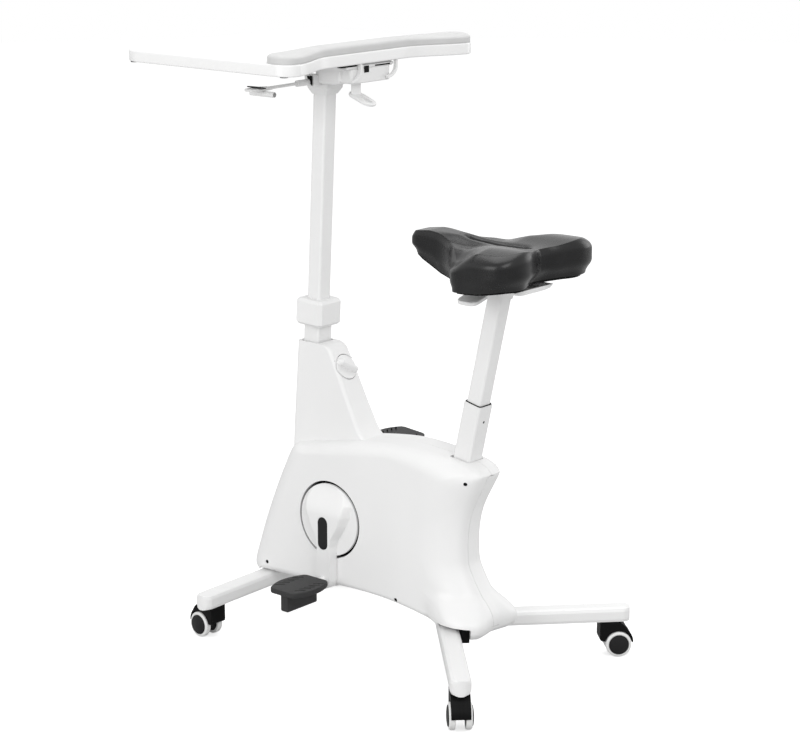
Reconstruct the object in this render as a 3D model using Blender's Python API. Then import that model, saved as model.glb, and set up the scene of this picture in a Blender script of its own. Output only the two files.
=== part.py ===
"""Desk exercise bike: a housed crank drive on a frame with four castered legs, a saddle on a
tilted post and a desk on a telescoping column. Metres, +Z up, the rider faces -Y and the
rider's left is +X. The origin is on the floor below the middle of the whole machine."""

import math

import bmesh
import bpy
import numpy as np
from mathutils import Matrix, Vector

# Clearances
SEAT_GAP = 0.0003
RUNNING_GAP = 0.0006
SHELL_GAP = 0.002

# Tilted axes of the two telescoping posts
COLUMN_TILT = math.radians(2.89)
COLUMN_FOOT_Y = -0.2033
SEAT_TILT = math.radians(12.63)
SEAT_FOOT_Y = 0.1560

# Base frame
CASTER_HEIGHT = 0.0735
LEG_WIDTH = 0.0415
LEG_HEIGHT = 0.032
LEG_CORNER = 0.008
LEG_WALL = 0.0025
LEG_TIP_ROUNDING = 0.018
FRONT_LEG_APEX_Y = -0.2895
FRONT_LEG_SWEEP = math.radians(-1.9)
FRONT_LEG_LENGTH = 0.256
REAR_LEG_APEX_Y = 0.1626
REAR_LEG_SWEEP = math.radians(-43.8)
REAR_LEG_LENGTH = 0.3795
BEAM_WIDTH = 0.042
BEAM_UNDERSIDE_Z = 0.126
BEAM_TOP_Z = 0.164
BEAM_FRONT_Y = -0.3115
BEAM_REAR_Y = 0.204
FRONT_RISER_LENGTH = 0.044
REAR_RISER_LENGTH = 0.070

# Casters
WHEEL_RADIUS = 0.027
WHEEL_TREAD = 0.013
WHEEL_INNER_X = 0.010
HUB_RADIUS = 0.0205
HUB_BULGE = 0.0035
CASTER_TRAIL = 0.030
HOOD_WIDTH = 0.038
HOOD_EDGE = 0.0012
HOOD_WEB = 0.008
WELL_GAP = 0.0015
STEM_RADIUS = 0.005
STEM_LENGTH = 0.022
CASTER_AXLE_RADIUS = 0.003
FRONT_STEM_TO_TIP = 0.0444
REAR_STEM_TO_TIP = 0.0544
FRONT_TRAIL_HEADING = math.radians(-95.0)
REAR_TRAIL_HEADING = math.radians(43.8)

# Square tubes
LOWER_COLUMN_SIZE = 0.0424
LOWER_COLUMN_WALL = 0.0025
UPPER_COLUMN_SIZE = 0.035
SEAT_TUBE_SIZE = 0.0424
SEAT_POST_SIZE = 0.035
TUBE_WALL = 0.0025
TUBE_CORNER = 0.005
SEAT_TUBE_WALL = 0.0033
LOWER_COLUMN_TOP_Z = 0.692
UPPER_COLUMN_FOOT_Z = 0.422
SEAT_TUBE_TOP_Z = 0.557
SEAT_POST_FOOT_Z = 0.372
SEAT_POST_TOP_Z = 0.789

# Collar round the column
COLLAR_SIZE = 0.071
COLLAR_CHAMFER = 0.0075
COLLAR_EDGE = 0.006
COLLAR_FOOT_Z = 0.653
COLLAR_TOP_Z = 0.708

# Gas springs
GAS_CYLINDER_RADIUS = 0.0115
GAS_CYLINDER_WALL = 0.0015
GAS_ROD_RADIUS = 0.0045
DESK_CYLINDER_FOOT_Z = 0.652
DESK_ROD_TOP_Z = 0.872
SEAT_CYLINDER_FOOT_Z = 0.447
SEAT_ROD_TOP_Z = 0.607

# Housing
SHELL_HALF_WIDTH = 0.062
SHELL_WALL = 0.003
REAR_COVER_HALF_WIDTH = 0.016
COVER_BULGE = 0.0015
TOE_BULGE = 0.036
TOE_MIDDLE = 0.86
TOE_SPREAD = 0.085
NECK_TOP_Z = 0.618
NECK_FOOT_Z = 0.347
NECK_TOP_HALF_WIDTH = 0.0285
NECK_FOOT_HALF_WIDTH = 0.0335
NECK_CORNER = 0.009
NECK_SHOULDER_Y = -0.121
NECK_SHOULDER_Z = 0.590
NECK_SHOULDER_DEPTH = 0.029
NECK_SLOPE = 0.594
NECK_KNEE_Z = 0.457
NECK_KNEE_HEIGHT = 0.025
NECK_KNEE_FLARE = 0.037
NECK_FRONT_Y = -0.2245
NECK_FRONT_Z = 0.387
NECK_FRONT_SLOPE = 0.0538
NECK_TAPER_FOOT_Z = 0.432
HOUSING_CROWN_Z = 0.449
HOLE_REACH = 0.045

# Crank
CRANK_Y = -0.096
CRANK_Z = 0.261
CRANK_LENGTH = 0.125
CRANK_OPENING_RADIUS = 0.081
CRANK_DISC_RADIUS = 0.0765
CRANK_DISC_FACE_X = 0.0635
CRANK_DISC_THICKNESS = 0.006
ARM_FACE_X = 0.083
ARM_HALF_WIDTH = 0.0205
ARM_THICKNESS = 0.017
ARM_EDGE = 0.003
CAP_WIDTH = 0.026
CAP_LENGTH = 0.070
CAP_DEPTH = 0.0022
CAP_MIDDLE_Z = -0.025
AXLE_RADIUS = 0.0085
AXLE_HALF_LENGTH = 0.069
BEARING_RADIUS = 0.022
BEARING_HALF_LENGTH = 0.031
SPINDLE_RADIUS = 0.007
SPINDLE_INSET = 0.014
BOSS_END_X = 0.047
PULLEY_RADIUS = 0.090
PULLEY_THICKNESS = 0.012
PULLEY_X = -0.040
GROOVE_DEPTH = 0.003

# Pedals
PEDAL_LENGTH = 0.108
PEDAL_HALF_WIDTH = 0.047
PEDAL_END_HALF_WIDTH = 0.030
PEDAL_GAP_TO_ARM = 0.009
PEDAL_THICKNESS = 0.010
PEDAL_DROP = 0.038
PEDAL_DROP_THICKNESS = 0.021
PEDAL_DROP_LENGTH = 0.082

# Flywheel and brake
FLYWHEEL_Y = 0.050
FLYWHEEL_Z = 0.282
FLYWHEEL_RADIUS = 0.095
FLYWHEEL_RIM_WIDTH = 0.018
FLYWHEEL_RIM_DEPTH = 0.018
FLYWHEEL_WEB = 0.006
FLYWHEEL_HUB_RADIUS = 0.022
SMALL_PULLEY_RADIUS = 0.022
FORK_X = 0.018
FORK_THICKNESS = 0.005
FORK_WIDTH = 0.046
BELT_THICKNESS = 0.003
BRAKE_PIVOT_Y = -0.042
BRAKE_PIVOT_Z = 0.182
BRAKE_GAP = 0.003
BRAKE_THICKNESS = 0.006
BRAKE_HALF_WIDTH = 0.012
BRAKE_PIN_RADIUS = 0.003
BRAKE_BARREL_RADIUS = 0.0065
BRAKE_ARC_START = 216
BRAKE_ARC_END = 142
EAR_THICKNESS = 0.004
EAR_HALF_WIDTH = 0.009
WELD_DEPTH = 0.004
CABLE_RADIUS = 0.0025

# Resistance dial
DIAL_Z = 0.569
DIAL_RADIUS = 0.0265
DIAL_OPENING_RADIUS = 0.0271
DIAL_THICKNESS = 0.006
DIAL_GRIP_LENGTH = 0.050
DIAL_GRIP_WIDTH = 0.013
DIAL_GRIP_HEIGHT = 0.016
DIAL_GRIP_TURN = math.radians(35)
DIAL_BACK = 0.004
DIAL_STUB_RADIUS = 0.006
DIAL_STUB_LENGTH = 0.016

# Desk
DESK_TOP_Z = 1.221
DESK_THICKNESS = 0.0235
DESK_HALF_WIDTH = 0.2835
DESK_FAR_Y = -0.452
DESK_NEAR_Y = 0.011
DESK_FAR_CORNER = 0.055
DESK_NEAR_CORNER = 0.036
DESK_RECESS_DEPTH = 0.049
DESK_RECESS_FLAT = 0.112
DESK_RECESS_END = 0.262
DESK_EDGE = 0.003
REST_FAR_Y = -0.089
REST_END_DEPTH = 0.027
REST_FAR_FLAT = 0.085
REST_FAR_END = 0.260
REST_FAR_CORNER = 0.030
REST_THICKNESS = 0.018
REST_REBATE = 0.0015
REST_INSET = 0.0015

# Desk head and slide
HEAD_TOP_Z = DESK_TOP_Z - 0.033
HEAD_UNDERSIDE_Z = HEAD_TOP_Z - 0.034
HEAD_FOOT_Z = HEAD_UNDERSIDE_Z - 0.025
UPPER_COLUMN_TOP_Z = HEAD_UNDERSIDE_Z - 0.010
HEAD_FOOT_SIZE = 0.040
HEAD_FLANGE_SIZE = 0.054
HEAD_FLANGE_RISE = 0.013
HEAD_HALF_WIDTH = 0.040
HEAD_BOWL_Y = -0.125
HEAD_BOWL_NEAR_Y = -0.077
HEAD_ROUNDING = 0.014
HEAD_CORNER = 0.006
BOX_LOW_X = -0.080
BOX_HIGH_X = 0.036
BOX_FAR_Y = -0.085
BOX_NEAR_Y = -0.050
BOX_DEPTH = 0.030
BOX_EDGE = 0.002
SLIDE_MIDDLE_X = -0.018
SLIDE_HALF_WIDTH = 0.070
SLIDE_FAR_Y = -0.235
SLIDE_THICKNESS = 0.005
RAIL_FAR_Y = -0.335
RAIL_NEAR_Y = -0.056
RAIL_WALL = 0.0025
RAIL_LIP = 0.006
GUSSET_Y = -0.150
GUSSET_REACH = 0.072
GUSSET_DEPTH = 0.027
GUSSET_TAPER = 0.005
HOOK_NEAR_Y = -0.0405
HOOK_WIDTH = 0.007
HOOK_HALF_THICKNESS = 0.0028
LEFT_HOOK_X = 0.018
RIGHT_HOOK_X = -0.089

# Levers
LIFT_PIVOT_X = 0.047
LIFT_PIVOT_Y = -0.150
LIFT_PIVOT_Z = HEAD_UNDERSIDE_Z + 0.003
LIFT_LUG_X = 0.0515
LIFT_LUG_HALF_LENGTH = 0.012
LIFT_BARREL_RADIUS = 0.0065
LIFT_BARREL_LENGTH = 0.036
LIFT_ROD_RADIUS = 0.0032
LIFT_PLATE_X = 0.138
LIFT_PLATE_WIDTH = 0.034
LIFT_PLATE_LENGTH = 0.066
LIFT_BAR_RADIUS = 0.0058
LIFT_BAR_DROP = 0.0105
RELEASE_Y = -0.0715
RELEASE_WIDTH = 0.027
RELEASE_THICKNESS = 0.006
RELEASE_DROP = 0.026
LOOP_WIDTH = 0.036
LOOP_LENGTH = 0.064
LOOP_REACH = 0.017
LOOP_TILT = math.radians(-20)
SEAT_LEVER_X = 0.048
SEAT_LEVER_Y = 0.288
SEAT_LEVER_DROP = 0.0122
SEAT_LEVER_TILT = math.radians(14)
PADDLE_LENGTH = 0.054
PADDLE_WIDTH = 0.048

# Saddle
SADDLE_BASE_THICKNESS = 0.004
SADDLE_BRACKET_TOP_Z = 0.8032
SADDLE_BRACKET_DEPTH = 0.0085
SADDLE_BRACKET_HALF_WIDTH = 0.060
SADDLE_BRACKET_FAR_Y = 0.262
SADDLE_BRACKET_NEAR_Y = 0.376
SADDLE_BRACKET_SHEET = 0.003
SADDLE_COLLAR_DROP = 0.018


# Scene and material helpers


def clear_scene():
    """Remove every object of the startup scene."""
    for obj in list(bpy.data.objects):
        bpy.data.objects.remove(obj)


def make_finish(name, colour, roughness, metallic=0.0):
    """A Principled material of one colour."""
    material = bpy.data.materials.new(name)
    material.use_nodes = True
    shader = material.node_tree.nodes["Principled BSDF"]
    shader.inputs["Base Color"].default_value = (*colour, 1.0)
    shader.inputs["Roughness"].default_value = roughness
    shader.inputs["Metallic"].default_value = metallic
    return material


def make_axis(name, place, turn=None, parent=None):
    """An empty on a joint's axis, which the pieces that move about it are parented to."""
    empty = bpy.data.objects.new(name, None)
    bpy.context.scene.collection.objects.link(empty)
    empty.empty_display_size = 0.02
    if parent:
        empty.parent = parent
    empty.matrix_local = Matrix.Translation(place) @ (turn or Matrix.Identity(4))
    return empty


def make_object(name, points, faces, finish, parent=None):
    """A closed mesh object whose faces point outwards and whose round faces are smooth."""
    mesh = bpy.data.meshes.new(name)
    mesh.from_pydata([tuple(map(float, point)) for point in points], [], faces)
    tidy_mesh(mesh)
    obj = bpy.data.objects.new(name, mesh)
    bpy.context.scene.collection.objects.link(obj)
    if parent:
        obj.parent = parent
    obj.data.materials.append(finish)
    return obj


def tidy_mesh(mesh):
    """Merge doubled points, drop empty faces and turn every face outwards."""
    work = bmesh.new()
    work.from_mesh(mesh)
    bmesh.ops.remove_doubles(work, verts=work.verts, dist=0.00002)
    bmesh.ops.dissolve_degenerate(work, edges=work.edges, dist=0.000005)
    bmesh.ops.recalc_face_normals(work, faces=work.faces)
    work.to_mesh(mesh)
    work.free()
    mesh.shade_smooth()
    mesh.set_sharp_from_angle(angle=math.radians(35))


def combine(target, tool, operation):
    """Join, cut or trim one object with another, which is then removed."""
    boolean = target.modifiers.new("shape", "BOOLEAN")
    boolean.object = tool
    boolean.operation = operation
    boolean.solver = "EXACT"
    bpy.context.view_layer.update()
    graph = bpy.context.evaluated_depsgraph_get()
    mesh = bpy.data.meshes.new_from_object(target.evaluated_get(graph))
    target.modifiers.clear()
    target.data = mesh
    bpy.data.objects.remove(tool)
    tidy_mesh(mesh)
    return target


def join(target, tool):
    return combine(target, tool, "UNION")


def cut(target, tool):
    return combine(target, tool, "DIFFERENCE")


# Outlines, as arrays of points in a plane


def rounded_rectangle(width, height, radius, steps=3):
    """Counter-clockwise outline of a rectangle about the origin with round corners."""
    turns = np.linspace(0, math.pi / 2, steps + 1)
    points = []
    for corner, (sx, sy) in enumerate([(1, 1), (-1, 1), (-1, -1), (1, -1)]):
        centre = (sx * (width / 2 - radius), sy * (height / 2 - radius))
        for turn in turns + corner * math.pi / 2:
            points.append((centre[0] + radius * math.cos(turn), centre[1] + radius * math.sin(turn)))
    return np.array(points)


def circle(radius, count=32):
    """Counter-clockwise circle about the origin."""
    turns = np.arange(count) * 2 * math.pi / count
    return np.column_stack([radius * np.cos(turns), radius * np.sin(turns)])


def stadium(width, length, steps=8):
    """Outline of a slot with round ends, its length along the second axis."""
    turns = np.linspace(0, math.pi, steps + 1)
    reach = (length - width) / 2
    upper = np.column_stack([width / 2 * np.cos(turns), reach + width / 2 * np.sin(turns)])
    return np.vstack([upper, -upper])


def smooth_curve(points, count):
    """Points evenly spaced along a smooth curve through the given ones."""
    points = np.asarray(points, float)
    padded = np.vstack([2 * points[0] - points[1], points, 2 * points[-1] - points[-2]])
    fine = []
    steps = np.linspace(0, 1, 24, endpoint=False)[:, None]
    for a, b, c, d in zip(padded, padded[1:], padded[2:], padded[3:]):
        fine.append(
            b
            + 0.5 * steps * (c - a)
            + steps**2 * (a - 2.5 * b + 2 * c - 0.5 * d)
            + steps**3 * (1.5 * b - 0.5 * a - 1.5 * c + 0.5 * d)
        )
    fine = np.vstack(fine + [points[-1:]])
    run = np.concatenate([[0], np.cumsum(np.linalg.norm(np.diff(fine, axis=0), axis=1))])
    places = np.linspace(0, run[-1], count)
    return np.column_stack([np.interp(places, run, fine[:, k]) for k in range(fine.shape[1])])


def ease(value):
    """Smooth step from 0 to 1."""
    value = np.clip(value, 0, 1)
    return value * value * (3 - 2 * value)


# Solids from outlines


def skin(rings, closed=False):
    """Faces between rings of equally many points: capped at both ends, or closed on itself."""
    count = len(rings[0])
    points = np.vstack(rings)
    faces = []
    last = len(rings) if closed else len(rings) - 1
    for ring in range(last):
        here, there = ring * count, (ring + 1) % len(rings) * count
        for k in range(count):
            n = (k + 1) % count
            faces.append((here + k, here + n, there + n, there + k))
    if not closed:
        faces.append(tuple(range(count))[::-1])
        faces.append(tuple(range(len(points) - count, len(points))))
    return points, faces


def lift(outline, axis, place):
    """A flat outline set square to an axis (0, 1 or 2) at a place along it."""
    outline = np.asarray(outline, float)
    return np.insert(outline, axis, place, axis=1)


def prism(name, outline, axis, low, high, finish, parent=None, edge=0.0):
    """An outline extruded along an axis, with its end edges chamfered by an inset copy."""
    rings = [lift(outline, axis, low), lift(outline, axis, high)]
    if edge:
        small = inset(outline, edge)
        rings = [
            lift(small, axis, low),
            lift(outline, axis, low + edge),
            lift(outline, axis, high - edge),
            lift(small, axis, high),
        ]
    return make_object(name, *skin(rings), finish, parent)


def inset(outline, distance):
    """An outline moved inwards by a distance, for outlines wider than twice that distance."""
    outline = np.asarray(outline, float)
    before, after = np.roll(outline, 1, axis=0), np.roll(outline, -1, axis=0)
    area = np.sum(outline[:, 0] * after[:, 1] - after[:, 0] * outline[:, 1])
    side = math.copysign(1.0, area)
    one = outline - before
    two = after - outline
    one = one / np.linalg.norm(one, axis=1)[:, None]
    two = two / np.linalg.norm(two, axis=1)[:, None]
    normal = np.column_stack([-(one + two)[:, 1], (one + two)[:, 0]]) * side
    length = np.linalg.norm(normal, axis=1)
    normal = normal / length[:, None]
    stretch = np.clip(2 / np.maximum(length, 1e-6), 1, 1.6)
    return outline + normal * (distance * stretch)[:, None]


def hollow(name, outer, inner, low, high, finish, parent=None):
    """A tube along local Z between two heights, from an outer and an inner outline."""
    rings = [lift(outer, 2, low), lift(outer, 2, high), lift(inner, 2, high), lift(inner, 2, low)]
    return make_object(name, *skin(rings, closed=True), finish, parent)


def turned(name, profile, finish, parent=None, count=32, axis=0):
    """A solid of revolution about an axis, from (radius, place) pairs that start and end on it."""
    rings = [lift(circle(max(radius, 0.00002), count), axis, place) for radius, place in profile]
    return make_object(name, *skin(rings), finish, parent)


def turned_ring(name, profile, finish, parent=None, count=32, axis=0):
    """A ring of revolution about an axis, from a closed section of (radius, place) pairs."""
    rings = [lift(circle(radius, count), axis, place) for radius, place in profile]
    return make_object(name, *skin(rings, closed=True), finish, parent)


def rod(name, start, end, radius, finish, parent=None, count=16):
    """A round bar between two points."""
    return bent_rod(name, [start, end], radius, finish, parent, count)


def bent_rod(name, path, radius, finish, parent=None, count=12):
    """A round bar along a list of points."""
    path = [Vector(point) for point in path]
    rings = []
    for k, point in enumerate(path):
        ahead = path[min(k + 1, len(path) - 1)] - path[max(k - 1, 0)]
        across = ahead.normalized().orthogonal() if k == 0 else across - across.project(ahead)
        across.normalize()
        other = ahead.normalized().cross(across)
        rings.append(
            [point + across * (radius * c) + other * (radius * s) for c, s in circle(1, count)]
        )
    return make_object(name, *skin([np.array(ring) for ring in rings]), finish, parent)


def box(name, low, high, finish, parent=None, corner=0.0):
    """A block between two corners, with round upright corners where one is given."""
    low, high = np.array(low, float), np.array(high, float)
    size, middle = high - low, (high + low) / 2
    if corner:
        outline = rounded_rectangle(size[0], size[1], corner) + middle[:2]
    else:
        outline = rounded_rectangle(size[0], size[1], 0, steps=0) + middle[:2]
    return prism(name, outline, 2, low[2], high[2], finish, parent)


# Finishes


def make_finishes():
    return {
        "white_metal": make_finish("white_metal", (0.80, 0.80, 0.80), 0.40),
        "white_plastic": make_finish("white_plastic", (0.80, 0.80, 0.80), 0.45),
        "black_plastic": make_finish("black_plastic", (0.02, 0.02, 0.02), 0.45),
        "grey_plastic": make_finish("grey_plastic", (0.07, 0.07, 0.075), 0.60),
        "white_tyre": make_finish("white_tyre", (0.75, 0.75, 0.75), 0.55),
        "desk_laminate": make_finish("desk_laminate", (0.84, 0.84, 0.83), 0.35),
        "rest_foam": make_finish("rest_foam", (0.55, 0.55, 0.55), 0.70),
        "black_leather": make_finish("black_leather", (0.012, 0.012, 0.013), 0.35),
        "steel": make_finish("steel", (0.55, 0.55, 0.56), 0.35, 1.0),
        "cast_iron": make_finish("cast_iron", (0.18, 0.18, 0.19), 0.55, 1.0),
        "belt_rubber": make_finish("belt_rubber", (0.02, 0.02, 0.02), 0.80),
    }


# Places shared by several pieces


def column_y(z):
    """Where the column's axis is at a height."""
    return COLUMN_FOOT_Y + math.tan(COLUMN_TILT) * (z - BEAM_TOP_Z)


def column_run(z):
    """Distance along the column's axis from its foot to a height."""
    return (z - BEAM_TOP_Z) / math.cos(COLUMN_TILT)


def seat_y(z):
    """Where the seat post's axis is at a height."""
    return SEAT_FOOT_Y + math.tan(SEAT_TILT) * (z - BEAM_TOP_Z)


def seat_run(z):
    """Distance along the seat post's axis from its foot to a height."""
    return (z - BEAM_TOP_Z) / math.cos(SEAT_TILT)


def tilt_matrix(angle):
    """Turns local Z towards +Y by an angle."""
    return Matrix.Rotation(-angle, 4, "X")


def leg_frame(apex_y, sweep, side):
    """Start, outward direction and across direction of a leg, in plan."""
    along = np.array([side * math.cos(sweep), -math.sin(sweep)])
    across = np.array([-along[1], along[0]])
    return np.array([0.0, apex_y]), along, across


def leg_point(apex_y, sweep, side, run):
    start, along, _ = leg_frame(apex_y, sweep, side)
    return start + along * run


# Base frame


def leg_ring(apex_y, sweep, side, run, half_width, shrink):
    """One section of a leg: on the middle plane where run is None, else square to the leg."""
    start, along, across = leg_frame(apex_y, sweep, side)
    middle_z = CASTER_HEIGHT + LEG_HEIGHT / 2
    outline = rounded_rectangle(
        LEG_WIDTH - 2 * shrink, LEG_HEIGHT - 2 * shrink, LEG_CORNER - shrink, steps=2
    )
    outline[:, 0] *= half_width / (LEG_WIDTH / 2 - shrink)
    ring = []
    for offset, height in outline:
        if run is None:
            reach = (side * SEAT_GAP / 2 - across[0] * offset) / along[0]
        else:
            reach = run
        spot = start + along * reach + across * offset
        ring.append((spot[0], spot[1], middle_z + height))
    return np.array(ring)


def leg_rings(apex_y, sweep, length, side, shrink):
    """Sections of a leg from the middle plane to a tip that is round in plan."""
    half, radius = LEG_WIDTH / 2 - shrink, LEG_TIP_ROUNDING - shrink
    rings = [leg_ring(apex_y, sweep, side, None, half, shrink)]
    for turn in np.linspace(0, math.pi / 2, 6):
        run = length - LEG_TIP_ROUNDING + radius * math.sin(turn)
        width = half - radius * (1 - math.cos(turn))
        rings.append(leg_ring(apex_y, sweep, side, run, width, shrink))
    return rings


def stem_hole(apex_y, sweep, run, side, finish):
    """The hole in a leg's lower wall for its caster's stem."""
    hole = circle(STEM_RADIUS + RUNNING_GAP, 12) + leg_point(apex_y, sweep, side, run)
    reach = LEG_HEIGHT / 2
    return prism("stem_hole", hole, 2, CASTER_HEIGHT - reach, CASTER_HEIGHT + reach, finish)


def make_rear_leg(name, side, finish):
    """A hollow tube, mitred where it meets the other rear leg and closed at its tip."""
    outer = leg_rings(REAR_LEG_APEX_Y, REAR_LEG_SWEEP, REAR_LEG_LENGTH, side, 0.0)
    inner = leg_rings(REAR_LEG_APEX_Y, REAR_LEG_SWEEP, REAR_LEG_LENGTH, side, LEG_WALL)
    leg = make_object(name, *skin(inner[::-1] + outer), finish)
    run = REAR_LEG_LENGTH - REAR_STEM_TO_TIP
    return cut(leg, stem_hole(REAR_LEG_APEX_Y, REAR_LEG_SWEEP, run, side, finish))


def make_front_bar(finish):
    """One hollow tube across the front, bent a little at its middle, with closed round ends."""
    bodies = []
    for name, shrink in (("front_foot_bar", 0.0), ("hollow", LEG_WALL)):
        left = leg_rings(FRONT_LEG_APEX_Y, FRONT_LEG_SWEEP, FRONT_LEG_LENGTH, 1, shrink)
        right = [ring * (-1, 1, 1) for ring in left[1:]]
        bodies.append(make_object(name, *skin(right[::-1] + left), finish))
    bar, inside = bodies
    run = FRONT_LEG_LENGTH - FRONT_STEM_TO_TIP
    for side in (1, -1):
        join(inside, stem_hole(FRONT_LEG_APEX_Y, FRONT_LEG_SWEEP, run, side, finish))
    return cut(bar, inside)


def rear_riser():
    """Where the beam's rear riser starts and ends, centred over the rear legs' mitre."""
    return REAR_LEG_APEX_Y - REAR_RISER_LENGTH / 2, REAR_LEG_APEX_Y + REAR_RISER_LENGTH / 2


def beam_outline():
    """Side view of the beam: risers over the legs, and a pad square to the seat tube."""
    underside = CASTER_HEIGHT + LEG_HEIGHT + SEAT_GAP
    front_end = BEAM_FRONT_Y + FRONT_RISER_LENGTH
    rear_start, rear_end = rear_riser()
    pad = SEAT_TUBE_SIZE * 0.62
    slope = math.tan(SEAT_TILT)
    return np.array(
        [
            (BEAM_FRONT_Y, underside),
            (front_end, underside),
            (front_end, BEAM_UNDERSIDE_Z),
            (rear_start, BEAM_UNDERSIDE_Z),
            (rear_start, underside),
            (rear_end, underside),
            (rear_end, BEAM_UNDERSIDE_Z),
            (BEAM_REAR_Y, BEAM_UNDERSIDE_Z),
            (BEAM_REAR_Y, BEAM_TOP_Z - pad * slope),
            (SEAT_FOOT_Y + pad, BEAM_TOP_Z - pad * slope),
            (SEAT_FOOT_Y - pad, BEAM_TOP_Z + pad * slope),
            (SEAT_FOOT_Y - pad - 0.006, BEAM_TOP_Z),
            (BEAM_FRONT_Y, BEAM_TOP_Z),
        ]
    )


def make_beam(finish):
    """The welded beam with the flywheel's fork and the brake's ears and pin."""
    beam = prism("frame_beam", beam_outline(), 0, -BEAM_WIDTH / 2, BEAM_WIDTH / 2, finish)
    ear_x = BRAKE_HALF_WIDTH + RUNNING_GAP
    for side in (-1, 1):
        low, high = sorted((side * FORK_X, side * (FORK_X + FORK_THICKNESS)))
        join(beam, prism("fork", fork_outline(), 0, low, high, finish))
        low, high = sorted((side * ear_x, side * (ear_x + EAR_THICKNESS)))
        join(beam, prism("ear", ear_outline(), 0, low, high, finish))
    reach = ear_x + EAR_THICKNESS / 2
    pin = circle(BRAKE_PIN_RADIUS, 12) + (BRAKE_PIVOT_Y, BRAKE_PIVOT_Z)
    join(beam, prism("pin", pin, 0, -reach, reach, finish))
    reach = BEAM_WIDTH
    bore = circle(AXLE_RADIUS + RUNNING_GAP, 24) + (FLYWHEEL_Y, FLYWHEEL_Z)
    return cut(beam, prism("bore", bore, 0, -reach, reach, finish))


def half_turn(y, z, radius, count):
    """Points over the top of a circle, from its +Y side to its -Y side."""
    turns = np.linspace(0, math.pi, count)
    return [(y + radius * math.cos(t), z + radius * math.sin(t)) for t in turns]


def fork_outline():
    """A plate from inside the beam's top to a round end about the flywheel's axle."""
    half = FORK_WIDTH / 2
    foot = BEAM_TOP_Z - WELD_DEPTH
    top = half_turn(FLYWHEEL_Y, FLYWHEEL_Z, half, 9)
    return np.array([(FLYWHEEL_Y + 1.4 * half, foot)] + top + [(FLYWHEEL_Y - 1.4 * half, foot)])


def ear_outline():
    """A short upright plate for the brake's pin."""
    foot = BEAM_TOP_Z - WELD_DEPTH
    top = half_turn(BRAKE_PIVOT_Y, BRAKE_PIVOT_Z, EAR_HALF_WIDTH, 7)
    return np.array([(BRAKE_PIVOT_Y + EAR_HALF_WIDTH, foot)] + top + [(BRAKE_PIVOT_Y - EAR_HALF_WIDTH, foot)])


def square_tube(name, size, wall, low, high, finish, parent):
    outer = rounded_rectangle(size, size, TUBE_CORNER)
    inner = rounded_rectangle(size - 2 * wall, size - 2 * wall, TUBE_CORNER - wall)
    return hollow(name, outer, inner, low, high, finish, parent)


def make_collar(finish, parent):
    """Chamfered block that clamps over the lower column and guides the upper one."""
    outline = rounded_rectangle(COLLAR_SIZE, COLLAR_SIZE, COLLAR_CHAMFER, steps=1)
    low, high = column_run(COLLAR_FOOT_Z), column_run(COLLAR_TOP_Z)
    collar = prism("column_collar", outline, 2, low, high, finish, parent, edge=COLLAR_EDGE)
    step = column_run(LOWER_COLUMN_TOP_Z) + SEAT_GAP
    size = LOWER_COLUMN_SIZE + 2 * SEAT_GAP
    lower = rounded_rectangle(size, size, TUBE_CORNER + SEAT_GAP)
    size = UPPER_COLUMN_SIZE + 2 * RUNNING_GAP
    upper = rounded_rectangle(size, size, TUBE_CORNER + RUNNING_GAP)
    cut(collar, prism("lower_hole", lower, 2, low - COLLAR_SIZE, step, finish, parent))
    return cut(collar, prism("upper_hole", upper, 2, low - COLLAR_SIZE, high + COLLAR_SIZE, finish, parent))


# Housing


HOUSING_FRONT = [
    (-0.318, 0.100),
    (-0.332, 0.109),
    (-0.331, 0.135),
    (-0.2635, 0.2895),
    (-0.224, 0.384),
    (-0.210, 0.401),
]
HOUSING_TOP = [
    (-0.210, 0.401),
    (-0.188, 0.408),
    (-0.030, 0.437),
    (0.070, 0.449),
    (0.145, 0.446),
    (0.262, 0.432),
    (0.280, 0.423),
]
HOUSING_REAR = [
    (0.280, 0.423),
    (0.281, 0.410),
    (0.241, 0.322),
    (0.234, 0.272),
    (0.239, 0.217),
    (0.291, 0.137),
    (0.299, 0.117),
    (0.294, 0.100),
]
HOUSING_BOTTOM = [
    (0.294, 0.100),
    (0.275, 0.085),
    (0.240, 0.084),
    (0.197, 0.100),
    (0.061, 0.120),
    (-0.082, 0.120),
    (-0.300, 0.104),
    (-0.318, 0.100),
]
PANEL_FRONT = [
    (-0.279, 0.124),
    (-0.211, 0.289),
    (-0.168, 0.384),
]
PANEL_TOP = [
    (-0.168, 0.384),
    (0.000, 0.412),
    (0.075, 0.419),
    (0.190, 0.397),
]
PANEL_REAR = [
    (0.190, 0.397),
    (0.140, 0.302),
    (0.150, 0.212),
    (0.228, 0.117),
]
PANEL_BOTTOM = [
    (0.228, 0.117),
    (0.185, 0.116),
    (0.061, 0.132),
    (-0.082, 0.132),
    (-0.279, 0.124),
]
EDGE_COUNTS = (12, 15, 15, 13)
REAR_COUNT = 18
RIM_HALF_WIDTHS = (0.010, 0.033, 0.018, 0.050)
CORNER_HALF_WIDTHS = (0.030, 0.020, 0.024, 0.030)


def closed_outline(edges, counts):
    """One closed outline from edges that meet end to end."""
    return np.vstack([smooth_curve(edge, count + 1)[:-1] for edge, count in zip(edges, counts)])


def rim_widths():
    """Half width of the housing at each point of its outline, easing between edges and corners."""
    widths = []
    for k, count in enumerate(EDGE_COUNTS):
        run = np.arange(count) / count
        middle = RIM_HALF_WIDTHS[k]
        start = CORNER_HALF_WIDTHS[k] - middle
        end = CORNER_HALF_WIDTHS[(k + 1) % 4] - middle
        widths.append(middle + start * (1 - ease(run / 0.22)) + end * ease((run - 0.78) / 0.22))
    return np.concatenate(widths)


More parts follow.
